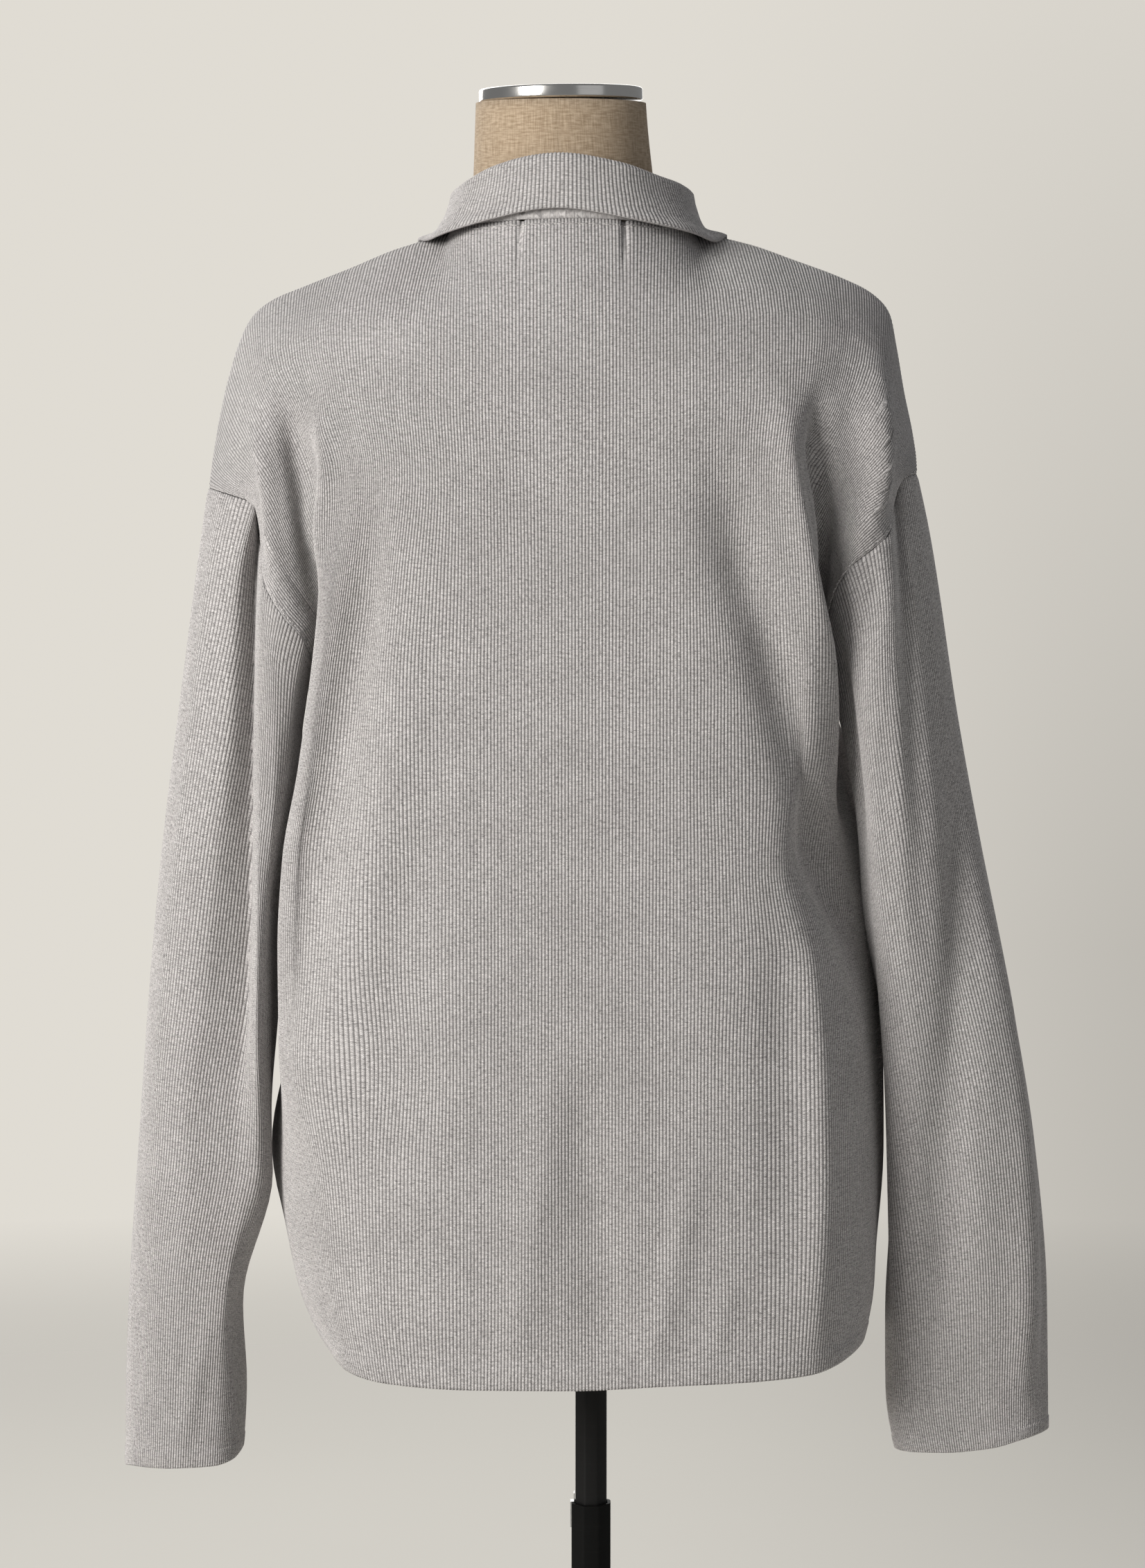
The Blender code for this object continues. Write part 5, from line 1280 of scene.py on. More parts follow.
@dataclass
class Panel(KnitPiece):
    """Flat-knitted panel between its hem and its shoulder seams.

    Its edges are armhole seams by place across, and its top is made of curves from one place across
    to another. Creases fade out within sewn_fade of a sewn edge. The ridge is the bend along the
    shoulder seams, and the turn is where they meet the neckline.
    """

    sections: Sections = ()
    edges: tuple[tuple[float, Table], ...] = ()
    top: tuple[tuple[float, float, Table], ...] = ()
    first: float = 0.0
    sewn: tuple[float, ...] = ()
    sewn_fade: float = 30.0
    flat: tuple[float, float] = (0.60, 0.678)
    area: float = 0.36
    hem: float = 14.0
    rows: int = 68
    puckers: tuple[Crease, ...] = ()
    form_gap: float = 3.4
    least_gap: float = 2.3
    shoulders_from: float = 1.24
    form_from: float = 0.80
    ridge_round: float = 7.0
    ridge_slope: float = 0.6
    ridge_reach: float = 90.0
    ridge_sink: float = 2.2
    ridge_width: float = 25.0
    turn_share: float = 0.17
    turn_from: float = 90.0
    turn_widest: float = 24.0
    edge_share: float = 0.08
    top_groove: float = 0.75
    top_width: float = 2.2

    def __post_init__(self) -> None:
        """Place the columns across and the rows up, close at the hem band and under the neck."""
        low = [HEM, HEM + 1.4, HEM + 7.0, HEM + self.hem, HEM + self.hem + 0.9]
        high = [233.0, 239.0, 242.0, 244.5, 246.5, 248.0, 249.0, TOP]
        middle = np.linspace(HEM + 20.0, 223.0, self.rows - len(low) - len(high))
        self.s = np.linspace(self.first, 1.0, self.wales * COLUMNS + 1)
        self.v = np.concatenate([low, middle, high])

    def surface(self) -> ndarray:
        """Outer face of the cloth before it is laid on the form.

        Returns:
            Points by row and column.
        """
        s, v = self.s, self.v
        keys, curves = [], []
        for key, points in self.sections:
            row = list(points)
            if key > 0:
                row += [(end, *(table_curve(table, np.array([key]))[0] / MM)) for end, table in self.edges]
            keys.append(key)
            curves.append(table_curve(tuple(row), s))
        ridge = np.zeros((len(s), 3))
        for low, high, table in self.top:
            pick = (s >= low - 1e-9) & (s <= high + 1e-9)
            ridge[pick] = table_curve(table, s[pick])
        grid = skin([*keys, TOP], [*curves, ridge], v)
        self.soften(grid)
        self.round_ridge(grid)
        upper = v > 0
        for end, table in self.edges:
            column = int(np.argmin(np.abs(s - end)))
            shift = table_curve(table, v[upper]) - grid[upper, column]
            share = np.clip(1.0 - np.abs(s - end) / self.edge_share, 0.0, 1.0)
            grid[upper] += shift[:, None, :] * share[None, :, None]
        return grid

    def round_ridge(self, grid: ndarray) -> None:
        """Turn the sharp ridge along the shoulder seams into a soft bend.

        Args:
            grid: Points, changed in place.
        """
        s, seam = self.s, grid[-1].copy()
        run = np.gradient(seam, axis=0)
        run /= np.linalg.norm(run, axis=1)[:, None]
        way = np.stack([run[:, 2], np.zeros(len(s)), -run[:, 0]], axis=1)
        way *= np.where(way[:, 2] + 0.2 * np.sign(seam[:, 0]) * way[:, 0] < 0, -1.0, 1.0)[:, None]
        share = soft_step((np.abs(s) - NECK_S + 0.02) / 0.05) * soft_step((1.0 - np.abs(s)) / 0.05)
        off = np.abs(grid[:, :, 1] - seam[None, :, 1]) / MM
        near = np.linalg.norm(grid - seam[None], axis=2) / MM < self.ridge_reach
        drop = self.ridge_slope * (np.sqrt(off ** 2 + self.ridge_round ** 2) - off)
        drop = drop - self.ridge_sink * dip(off, self.ridge_width)
        grid -= way[None] * (drop * near * share[None] * MM)[:, :, None]

    def soften(self, grid: ndarray) -> None:
        """Ease the turn between shoulder seam and neckline in the rows under them.

        Args:
            grid: Points, changed in place.
        """
        s, v = self.s, self.v
        pitch = (s[1] - s[0]) * HALF_WIDTH
        share = np.exp(-(((np.abs(s) - NECK_S) / self.turn_share) ** 4))
        for i in np.nonzero((v > self.turn_from) & (v < TOP - 1.0))[0]:
            wide = min(0.75 * (TOP - v[i]), self.turn_widest)
            wide *= min(1.0, (v[i] - self.turn_from) / 60.0)
            if wide >= 0.8:
                grid[i] += (evened(grid[i], pitch, wide) - grid[i]) * share[:, None]

    def shaped(self, form: BVHTree) -> tuple[ndarray, ndarray]:
        """The outer face laid on the form, with its creases, hem band and seam grooves.

        Args:
            form: Search tree of the dress form.

        Returns:
            Points and normals.
        """
        grid = self.surface()
        for i in np.nonzero(grid[:, :, 2].max(axis=1) > self.shoulders_from)[0]:
            lay_on(grid[i], form, self.form_gap * MM)
        normal = outward(grid)
        u, w = self.s[None, :] * HALF_WIDTH, self.v[:, None]
        rise = self.relief(u, w) * self.quiet(TOP - w, w - HEM)
        for edge in self.sewn:
            rise = rise * soft_step(np.abs(u - edge * HALF_WIDTH) / self.sewn_fade)
        rise = (rise + self.edge_band(w - HEM, self.hem)
                - self.top_groove * dip(TOP - w, self.top_width))
        for pucker in self.puckers:
            rise = rise + pucker.height(u, w)
        for edge in self.sewn:
            rise = rise - self.seam_groove * dip(u - edge * HALF_WIDTH, self.seam_width)
        grid = grid + normal * (rise * MM)[:, :, None]
        for i in np.nonzero(grid[:, :, 2].min(axis=1) > self.form_from)[0]:
            lay_on(grid[i], form, self.least_gap * MM)
        return grid, outward(grid)

    def build(self, form: BVHTree) -> Object:
        """Build the panel.

        Args:
            form: Search tree of the dress form.

        Returns:
            The object.
        """
        obj = self.shell(*self.shaped(form))
        return obj


@dataclass
class Sleeve(KnitPiece):
    """Long straight sleeve from the dropped armhole seam to its cuff band."""

    back: Table = ()
    front: Table = ()
    rings: Sections = ()
    length: float = 620.0
    round: float = 360.0
    cuff: float = 13.0
    rows: int = 66
    under_groove: float = 0.5
    under_width: float = 1.6
    under_from: float = 20.0

    def surface(self) -> tuple[ndarray, ndarray]:
        """Outer face of the cloth before its creases.

        Returns:
            Points, and the share of the way down of each row.
        """
        count = self.wales * COLUMNS
        q = np.linspace(0.0, 1.0, 401)
        v = TOP * np.abs(1.0 - 2.0 * q)
        seam = np.where((q <= 0.5)[:, None], table_curve(self.back, v), table_curve(self.front, v))
        keys, curves = [0.0], [seam]
        for t, points in self.rings:
            before = tuple((p[0] - 1.0, *p[1:]) for p in points[-2:])
            after = tuple((p[0] + 1.0, *p[1:]) for p in points[:2])
            keys.append(t)
            curves.append(table_curve((*before, *points, *after), q))
        band = 1.0 - self.cuff / self.length
        seam_rows, cuff_rows = [0.0, 0.0025, 0.006], [band - 0.0015, band, 0.989, 0.998, 1.0]
        t = np.concatenate([seam_rows, np.linspace(0.014, band - 0.01, self.rows - 8), cuff_rows])
        dense = skin(keys, curves, t)
        even = np.linspace(0.0, 1.0, count, endpoint=False)
        grid = np.zeros((len(t), count, 3))
        for i, ring in enumerate(dense):
            grid[i] = self.spaced(ring, q, even, float(soft_step(np.array(t[i] / 0.2))))
        return grid, t

    def spaced(self, ring: ndarray, q: ndarray, even: ndarray, share: float) -> ndarray:
        """One ring with its wales spaced evenly on each side of the outer and the underarm line.

        Args:
            ring: Dense points once round.
            q: Their parameter.
            even: Wanted places from 0 to 1.
            share: 0 keeps the parameter's spacing, 1 gives equal lengths.

        Returns:
            A point for each wanted place.
        """
        way = lengths_along(ring)
        half = len(q) // 2
        by_length = np.where(
            even <= 0.5, np.interp(even * 2 * way[half], way, q),
            np.interp(way[half] + (even * 2 - 1) * (way[-1] - way[half]), way, q))
        return read_line(even * (1 - share) + by_length * share, q, ring)

    def shaped(self) -> tuple[ndarray, ndarray]:
        """The outer face with its creases, cuff band and seam grooves.

        Returns:
            Points and normals.
        """
        grid, t = self.surface()
        normal = outward(grid, True)
        q = np.arange(grid.shape[1]) / grid.shape[1]
        u, w = q[None, :] * self.round, -t[:, None] * self.length
        rise = self.relief(u, w, self.round) * self.quiet(-w, w + self.length)
        rise = (rise + self.edge_band(w + self.length, self.cuff)
                - self.seam_groove * dip(w, self.seam_width))
        under_seam = dip(u - self.round / 2, self.under_width) * soft_step(-w / self.under_from)
        rise = rise - self.under_groove * under_seam
        grid = grid + normal * (rise * MM)[:, :, None]
        return grid, outward(grid, True)

    def build(self) -> Object:
        """Build the sleeve.

        Returns:
            The object.
        """
        obj = self.shell(*self.shaped(), wrap=True)
        return obj


@dataclass
class Collar(KnitPiece):
    """Turned-down strip: a stand up the neck, a fold and a fall over the panels."""

    cut: Table = COLLAR
    crown: float = 1.8
    fall_gap: float = 2.3
    thick: float = 2.0
    edge_thick: float = 0.9
    rows_stand: int = 7
    rows_fall: int = 13
    rows_edge: int = 6
    edge_rise: Row = (0.25, 0.4, 0.1)
    length: float = 430.0
    depth: float = 60.0

    def line(self) -> ndarray:
        """The neckline from the left front end by the back to the right front end.

        Returns:
            Points, one for each column.
        """
        s = np.linspace(0.0, NECK_S, 160)
        back = np.linspace(NECK_S, -NECK_S, 420)
        dense = np.concatenate([
            table_curve(NECKLINE_FRONT_LEFT, s)[:-1], table_curve(NECKLINE_BACK, back),
            table_curve(NECKLINE_FRONT_RIGHT, s)[::-1][1:]])
        way = lengths_along(dense)
        return read_line(np.linspace(0.0, way[-1], self.wales * COLUMNS + 1), way, dense)

    def surface(self) -> tuple[ndarray, ndarray]:
        """The strip from the foot of its stand over the fold to the fall's edge.

        Returns:
            Points, and for each column the direction along the neckline.
        """
        line = self.line()
        u = np.linspace(0.0, 1.0, len(line))
        table = np.array(self.cut, float)
        stand, lean, fold, drop, flare = through(table[:, 0], table[:, 1:], u).T * MM
        out = line - np.array([*NECK_AXIS, 0.0]) * MM
        out[:, 2] = 0.0
        out /= np.linalg.norm(out, axis=1)[:, None]
        up = np.array([0.0, 0.0, 1.0])
        rise = np.linspace(0.0, 1.0, self.rows_stand)
        lean_at = np.interp(rise, (0.0, 0.35, 0.70, 1.0), (0.0, -0.35, -0.75, -1.0))
        crown = self.crown * MM
        rows = [line + out * (lean * a)[:, None] + up * ((stand - crown * 4 / 3) * b)[:, None]
                for a, b in zip(lean_at, rise)]
        top = line - out * lean[:, None] + up * (stand - crown)[:, None]
        for angle in np.radians(np.arange(20.0, 161.0, 20.0)):
            rows.append(top + out * (fold * 0.5 * (1 - math.cos(angle)))[:, None]
                        + up * (crown * math.sin(angle)))
        shares = np.linspace(0.05, 1.0, self.rows_fall)
        ease = np.interp(shares, (0.0, 0.12, 0.4, 0.75, 1.0), (0.0, 0.04, 0.22, 0.58, 1.0))
        for share, e in zip(shares, ease):
            rows.append(top + out * (fold + flare * e)[:, None] - up * (drop * share)[:, None])
        across = np.stack([-out[:, 1], out[:, 0], np.zeros(len(out))], axis=1)
        return np.array(rows), across

    def smooth(self, fall: ndarray, wide: float) -> None:
        """Even out the fall along its length, more towards its edge.

        Args:
            fall: Its rows of points, changed in place.
            wide: Half width of the evening, mm.
        """
        pitch = np.linalg.norm(np.diff(fall[0], axis=0), axis=1).mean() / MM
        for row, share in zip(fall, np.linspace(0.1, 1.0, len(fall))):
            row += (evened(row, pitch, wide) - row) * share

    def build(self, panels: BVHTree) -> Object:
        """Build the collar over the panels.

        Args:
            panels: Search tree of the panels' outer faces.

        Returns:
            The object.
        """
        grid, across = self.surface()
        fall = grid[-self.rows_fall:]
        for share, wide in ((1.0, 9.0), (0.7, 3.0)):
            for row in fall:
                lay_on(row, panels, self.fall_gap * share * MM, across)
            self.smooth(fall, wide)
        normal = grid_normals(grid, False)
        middle = grid.shape[1] // 2
        away = grid[2, middle] - np.array([*NECK_AXIS, 0.0]) * MM
        normal = normal if np.dot(away[:2], normal[2, middle][:2]) > 0 else -normal
        thick = np.full(len(grid), self.thick)
        thick[-self.rows_edge:] = np.linspace(self.thick, self.edge_thick, self.rows_edge)
        face = grid - normal * (thick * MM)[:, None, None]
        u = np.linspace(0.0, self.length, grid.shape[1])[None, :]
        v = np.linspace(0.0, self.depth, grid.shape[0])[:, None]
        rise = self.relief(u, v) * soft_step((v - 8.0) / 20.0)
        rise[-len(self.edge_rise):] += np.array(self.edge_rise)[:, None]
        obj = self.shell(face - normal * (rise * MM)[:, :, None], -normal, thickness=1.6)
        return obj


def front_edge(side: int, v: ndarray) -> ndarray:
    """Inner edge of a front panel, which its button band follows.

    Args:
        side: 1 for the wearer's left, -1 for the right.
        v: Flat heights, mm.

    Returns:
        Points in metres.
    """
    sections = FRONT_LEFT_SECTIONS if side > 0 else FRONT_RIGHT_SECTIONS
    neck = NECKLINE_FRONT_LEFT if side > 0 else NECKLINE_FRONT_RIGHT
    return table_curve((*((key, *points[-1][1:]) for key, points in sections), (TOP, *neck[-1][1:])), v)


@dataclass
class ButtonBand(KnitPiece):
    """Plain band along a front edge, knitted in finer rib."""

    side: int = 1
    half: float = 15.0
    rows: int = 110

    def build(self) -> Object:
        """Build the band.

        Returns:
            The object.
        """
        v = np.linspace(HEM, TOP, self.rows)
        edge = front_edge(self.side, v)
        share = np.linspace(0.012, 1.0, self.wales * COLUMNS + 1)
        reach = (2 * self.half - 0.7) * MM
        grid = edge[:, None, :] + np.array([-self.side * reach, 0.0, 0.0]) * share[None, :, None]
        grid[-1, :, 2] = edge[-1, 2]
        normal = outward(grid)
        u, w = share[None, :] * 2 * self.half, v[:, None]
        groove, roll = 0.5 * dip(u - 0.3, 1.2), 0.3 * dip(2 * self.half - u, 1.5)
        rise = self.relief(u, w) - groove + roll
        grid = grid + normal * (rise * MM)[:, :, None]
        obj = self.shell(grid, normal, rib=0.26, thickness=1.7, step=4)
        return obj


@dataclass
class StitchRun:
    """Row of small loops that links two pieces along a line."""

    name: str
    pitch: float = 2.1
    width: float = 1.5
    height: float = 0.9
    steps: int = 10

    def build(self, path: ndarray, normal: ndarray) -> Object:
        """Build one low loop for each stitch.

        Args:
            path: Points along the line.
            normal: The cloth's normal at each.

        Returns:
            The object.
        """
        way = lengths_along(path)
        count = max(2, int(way[-1] / (self.pitch * MM)))
        at = (np.arange(count) + 0.5) * way[-1] / count
        place, up = read_line(at, way, path), read_line(at, way, normal)
        run = np.gradient(place, axis=0)
        run /= np.linalg.norm(run, axis=1)[:, None]
        side = np.cross(up, run)
        n = self.steps
        turn = np.linspace(0, TURN, n, endpoint=False)
        rise = np.linspace(0.0, math.pi / 2, 4)[:-1]
        ring = [(math.cos(r) * math.cos(t), math.cos(r) * math.sin(t), math.sin(r))
                for r in rise for t in turn]
        unit = np.array([*ring, (0.0, 0.0, 1.0)])
        half = (0.62 * self.pitch * MM, 0.5 * self.width * MM, 0.5 * self.height * MM)
        verts = (place[:, None, :] + run[:, None, :] * (unit[:, 0] * half[0])[None, :, None]
                 + side[:, None, :] * (unit[:, 1] * half[1])[None, :, None]
                 + up[:, None, :] * (unit[:, 2] * half[2] - 0.1 * MM)[None, :, None])
        size = len(unit)
        wall = quads_of(3, n, True)
        peak = np.array([[2 * n + j, 2 * n + (j + 1) % n, size - 1] for j in range(n)])
        foot = np.arange(n)[None, ::-1]
        shift = (np.arange(count) * size)[:, None, None]
        groups = [(g[None] + shift).reshape(-1, g.shape[1]) for g in (wall, peak, foot)]
        uvs = []
        for group in groups:
            local, number = group % size, group // size
            u = 0.5 + unit[local, 1] * 0.3 + number % 7
            uvs.append(np.stack([u, unit[local, 0] * 0.7 + number * 1.6], axis=2))
        return fast_mesh(self.name, verts.reshape(-1, 3), groups, uvs)


# ---------------------------------------------------------------- hard pieces

@dataclass
class DressForm:
    """Limbless linen-covered bust form with its neck."""

    segments: int = 128
    seams: Row = (0.25, 0.75, 0.09, 0.41, 0.59, 0.91)
    seam_depth: float = 0.5
    seam_width: float = 3.0
    girth: float = 900.0

    def rings(self) -> ndarray:
        """Rings of its surface from its foot to the top of its neck.

        Returns:
            Points in metres, by ring.
        """
        table = np.array(FORM, float)
        z = np.unique(np.concatenate([table[:, 0], np.linspace(768, 1486, 84)]))
        values = through(table[:, 0], table[:, 1:], z)
        t = np.linspace(0.0, TURN, self.segments, endpoint=False)
        c, s = np.cos(t), np.sin(t)
        rings = np.zeros((len(z), self.segments, 3))
        for k, (cx, cy, a, b, power) in enumerate(values):
            rings[k, :, 0] = cx + a * np.copysign(np.abs(c) ** (2 / power), c)
            rings[k, :, 1] = cy + b * np.copysign(np.abs(s) ** (2 / power), s)
            rings[k, :, 2] = z[k]
        return rings * MM

    def tree(self) -> BVHTree:
        """Search tree of its surface.

        Returns:
            The tree.
        """
        rings = self.rings()[::2, ::2]
        grid = np.concatenate([rings, rings[:, :1]], axis=1)
        return surface_tree([(grid, grid - grid.mean(axis=1, keepdims=True))])

    def build(self) -> Object:
        """Build the closed body, with its weave's counts as texture coordinates.

        Returns:
            The object.
        """
        rings = self.rings()
        rows, cols, _ = rings.shape
        turn = np.linspace(0.0, 1.0, cols, endpoint=False)
        away = rings - rings.mean(axis=1, keepdims=True)
        away /= np.linalg.norm(away, axis=2)[:, :, None]
        for seam in self.seams:
            off = np.abs((turn - seam + 0.5) % 1.0 - 0.5)[None, :, None] * self.girth
            rings = rings - away * (self.seam_depth * MM * dip(off, self.seam_width))
        wall = quads_of(rows, cols, True)
        along = lengths_up(rings)
        u = (wall % cols) / cols
        u = np.where(u < u[:, :1] - 0.5, u + 1.0, u) * 0.7
        u = np.where(u > u[:, :1] + 0.35, u - 0.7, u)
        groups = [wall, np.arange(cols)[None, ::-1], ((rows - 1) * cols + np.arange(cols))[None, :]]
        uvs = [np.stack([u, along[wall // cols]], axis=2)]
        points = rings.reshape(-1, 3)
        uvs += [points[g][:, :, :2] for g in groups[1:]]
        return fast_mesh("form_body", points, groups, uvs, "weave")


@dataclass
class NeckCap:
    """Turned metal disc that closes the neck."""

    radius: float = 50.8
    thick: float = 8.0
    tilt: float = 0.9
    edge: float = 1.4

    def build(self) -> Object:
        """Build the disc with a soft edge and a shallow turned step on top.

        Returns:
            The object.
        """
        r, h, e = self.radius * MM, self.thick * MM, self.edge * MM
        corner = [(r - e + e * math.sin(a), e - e * math.cos(a)) for a in np.linspace(0.0, math.pi / 2, 6)]
        upper = [(p[0], h - p[1]) for p in reversed(corner)]
        step = [(r * 0.80, h), (r * 0.79, h - 0.5 * MM), (r * 0.20, h - 0.5 * MM), (r * 0.19, h)]
        obj = turned_mesh("neck_cap_disc", [(0.0, 0.0), *corner, *upper, *step, (0.0, h)], 160)
        obj.data.set_sharp_from_angle(angle=math.radians(35))
        lean = math.radians(self.tilt)
        place = Matrix.Translation((FORM[-1][1] * MM, 0.0, (FORM[-1][0] + 0.3) * MM + r * math.sin(lean)))
        obj.data.transform(place @ Matrix.Rotation(lean, 4, "Y"))
        return obj


@dataclass
class Stand:
    """Two octagonal tubes that slide in each other, the catch at the rim and the round foot."""

    upper_flats: float = 19.9
    lower_flats: float = 24.9
    bore_flats: float = 20.9
    upper_wall: float = 1.5
    rim: float = 602.0
    upper_foot: float = 300.0
    form_foot: float = 768.0
    base_radius: float = 150.0
    base_thick: float = 12.0
    socket: float = 21.5
    socket_top: float = 40.0
    rounding: float = 1.1
    bore_rounding: float = 0.6
    ease: float = 0.35
    end_gap: float = 0.3

    def octagon(self, flats: float, z: float, rounding: float) -> list[tuple[float, float, float]]:
        """Corners of a level octagon with each corner cut to a small round.

        Args:
            flats: Width across the flats, mm.
            z: Height, mm.
            rounding: Length of flat given up at each corner, mm.

        Returns:
            Points in metres.
        """
        radius = flats / 2 / math.cos(math.pi / 8)
        turns = [math.pi / 8 + k * math.pi / 4 for k in range(8)]
        corner = [np.array([radius * math.cos(t), radius * math.sin(t)]) for t in turns]
        points = []
        for k in range(8):
            before, here, after = corner[k - 1], corner[k], corner[(k + 1) % 8]
            one = here + (before - here) / np.linalg.norm(before - here) * rounding
            two = here + (after - here) / np.linalg.norm(after - here) * rounding
            for share in (0.0, 0.33, 0.67, 1.0):
                a, b, c = (1 - share) ** 2, 2 * share * (1 - share), share ** 2
                p = one * a + here * b + two * c
                points.append((p[0] * MM, p[1] * MM, z * MM))
        return points

    def tube(self, name: str, flats: float, bore: float, low: float, high: float) -> Object:
        """Octagonal tube with soft corners and eased ends.

        Args:
            name: The object's name.
            flats: Width across the outer flats, mm.
            bore: Width across the bore's flats, mm.
            low: Height of its foot, mm.
            high: Height of its top, mm.

        Returns:
            The object.
        """
        eased, ends = flats - 2 * self.ease, (low, low + self.ease, high - self.ease, high)
        wides = (eased, flats, flats, eased)
        rings = [self.octagon(wide, z, self.rounding) for wide, z in zip(wides, ends)]
        rings += [self.octagon(bore, z, self.bore_rounding) for z in (high, low)]
        points = np.array(rings).reshape(-1, 3)
        count, size = len(rings), len(rings[0])
        i, j = np.meshgrid(np.arange(count), np.arange(size), indexing="ij")
        n, k = (i + 1) % count, (j + 1) % size
        faces = np.stack([i * size + j, i * size + k, n * size + k, n * size + j], axis=2).reshape(-1, 4)
        uv = points[faces][:, :, [0, 2]]
        obj = fast_mesh(name, points, [faces], [uv], "skin")
        obj.data.set_sharp_from_angle(angle=math.radians(28))
        return obj

    def upper(self) -> Object:
        """The tube that slides with the form."""
        bore, top = self.upper_flats - 2 * self.upper_wall, self.form_foot - self.end_gap
        return self.tube("pole_upper_tube", self.upper_flats, bore, self.upper_foot, top)

    def lower(self) -> Object:
        """The tube that stands in the foot."""
        foot = self.base_thick + self.end_gap
        return self.tube("pole_lower_tube", self.lower_flats, self.bore_flats, foot, self.rim)

    def catch(self) -> Object:
        """Steel clip over the lower tube's rim, with a lip beside the upper tube.

        Returns:
            The object.
        """
        out, lip = self.lower_flats / 2 + 0.1, self.upper_flats / 2 + 0.45
        thick, half, top = 0.6, 3.2, self.rim + 0.1
        outline = [
            (out, self.rim - 16), (out + thick, self.rim - 16), (out + thick, top + thick),
            (lip + thick, top + thick), (lip + thick, top + 6.0), (lip, top + 6.0), (lip, top), (out, top)]
        work = bmesh.new()
        low = [work.verts.new((x * MM, -half * MM, z * MM)) for x, z in outline]
        high = [work.verts.new((x * MM, half * MM, z * MM)) for x, z in outline]
        work.faces.new(low)
        work.faces.new(high[::-1])
        for j in range(len(outline)):
            k = (j + 1) % len(outline)
            work.faces.new((low[j], high[j], high[k], low[k]))
        bmesh.ops.recalc_face_normals(work, faces=work.faces)
        obj = worked_object("pole_catch_clip", work, smooth=False)
        bevel = obj.modifiers.new("soft edges", "BEVEL")
        bevel.width, bevel.segments, bevel.limit_method = 0.12 * MM, 2, "ANGLE"
        return obj

    def foot(self) -> Object:
        """Round foot plate with its socket.

        Returns:
            The object.
        """
        bore = self.lower_flats / 2 / math.cos(math.pi / 8) + 0.3
        r, h, s, t = self.base_radius, self.base_thick, self.socket, self.socket_top
        profile = [(0.0, 0.0), (r - 2, 0.0), (r - 0.6, 0.6), (r, 2.0), (r, h - 3), (r - 0.9, h - 0.9),
                   (r - 3, h), (s + 2, h), (s + 0.6, h + 0.6), (s, h + 2), (s, t - 1), (s - 0.3, t - 0.3),
                   (s - 1, t), (bore, t), (bore, h), (0.0, h)]
        obj = turned_mesh("base_plate", [(a * MM, b * MM) for a, b in profile], 160)
        obj.data.set_sharp_from_angle(angle=math.radians(50))
        return obj


@dataclass
class Button:
    """Turned button with its crossing threads, sizes in millimetres."""

    number: int
    z: float
    radius: float = 7.5
    thick: float = 2.8
    lift: float = 0.5
    spread: float = 1.35
    thread_radius: float = 0.42
    dish: float = 0.55

    def place(self) -> Matrix:
        """Where the button sits, square to the band.

        Returns:
            Its placing.
        """
        edge = front_edge(1, np.linspace(HEM, TOP, 240))
        y, above, below = (np.interp(self.z + dz, edge[:, 2], edge[:, 1]) for dz in (0.0, 0.01, -0.01))
        turn = math.pi / 2 - math.atan((above - below) / 0.02)
        return Matrix.Translation((0.0, y - self.lift * MM, self.z)) @ Matrix.Rotation(turn, 4, "X")

    def build(self) -> Object:
        """Build the button.

        Returns:
            The object.
        """
        shares = [
            (0.0, 0.0), (0.80, 0.0), (0.90, 0.06), (0.97, 0.2), (1.0, 0.42), (0.99, 0.7), (0.955, 0.9),
            (0.88, 1.0), (0.79, 0.95), (0.72, 0.8), (0.65, 0.62), (0.60, self.dish), (0.0, self.dish)]
        profile = [(self.radius * MM * a, self.thick * MM * b) for a, b in shares]
        obj = turned_mesh(f"button_{self.number}_disc", profile, 72)
        obj.data.transform(self.place())
        return obj

    def thread(self) -> Object:
        """Build the two crossing threads.

        Returns:
            The object.
        """
        work = bmesh.new()
        floor, half = self.thick * self.dish * MM, self.thread_radius * MM
        for turn in (math.pi / 4, -math.pi / 4):
            made = bmesh.ops.create_uvsphere(work, u_segments=12, v_segments=8, radius=1.0)
            shape = (Matrix.Translation((0.0, 0.0, floor)) @ Matrix.Rotation(turn, 4, "Z")
                     @ Matrix.Diagonal((self.spread * 1.25 * MM, half, half, 1.0)))
            bmesh.ops.transform(work, matrix=shape, verts=made["verts"])
        obj = worked_object(f"button_{self.number}_thread", work)
        obj.data.transform(self.place())
        return obj


# ---------------------------------------------------------------- studio

@dataclass(frozen=True)
class Lamp:
    """Soft square lamp that faces the garment and isn't seen itself."""

    name: str
    place: Row
    size: float
    power: float
    tone: Row
    target: Row = (0.0, 0.0, 1.1)

    def build(self) -> None:
        """Put up the lamp."""
        light = bpy.data.lights.new(self.name, "AREA")
        light.shape, light.size, light.energy, light.color = "SQUARE", self.size, self.power, self.tone
        obj = linked(self.name, light)
        obj.location = self.place
        obj.rotation_euler = (Vector(self.target) - Vector(self.place)).to_track_quat("-Z", "Y").to_euler()
        obj.visible_camera = False


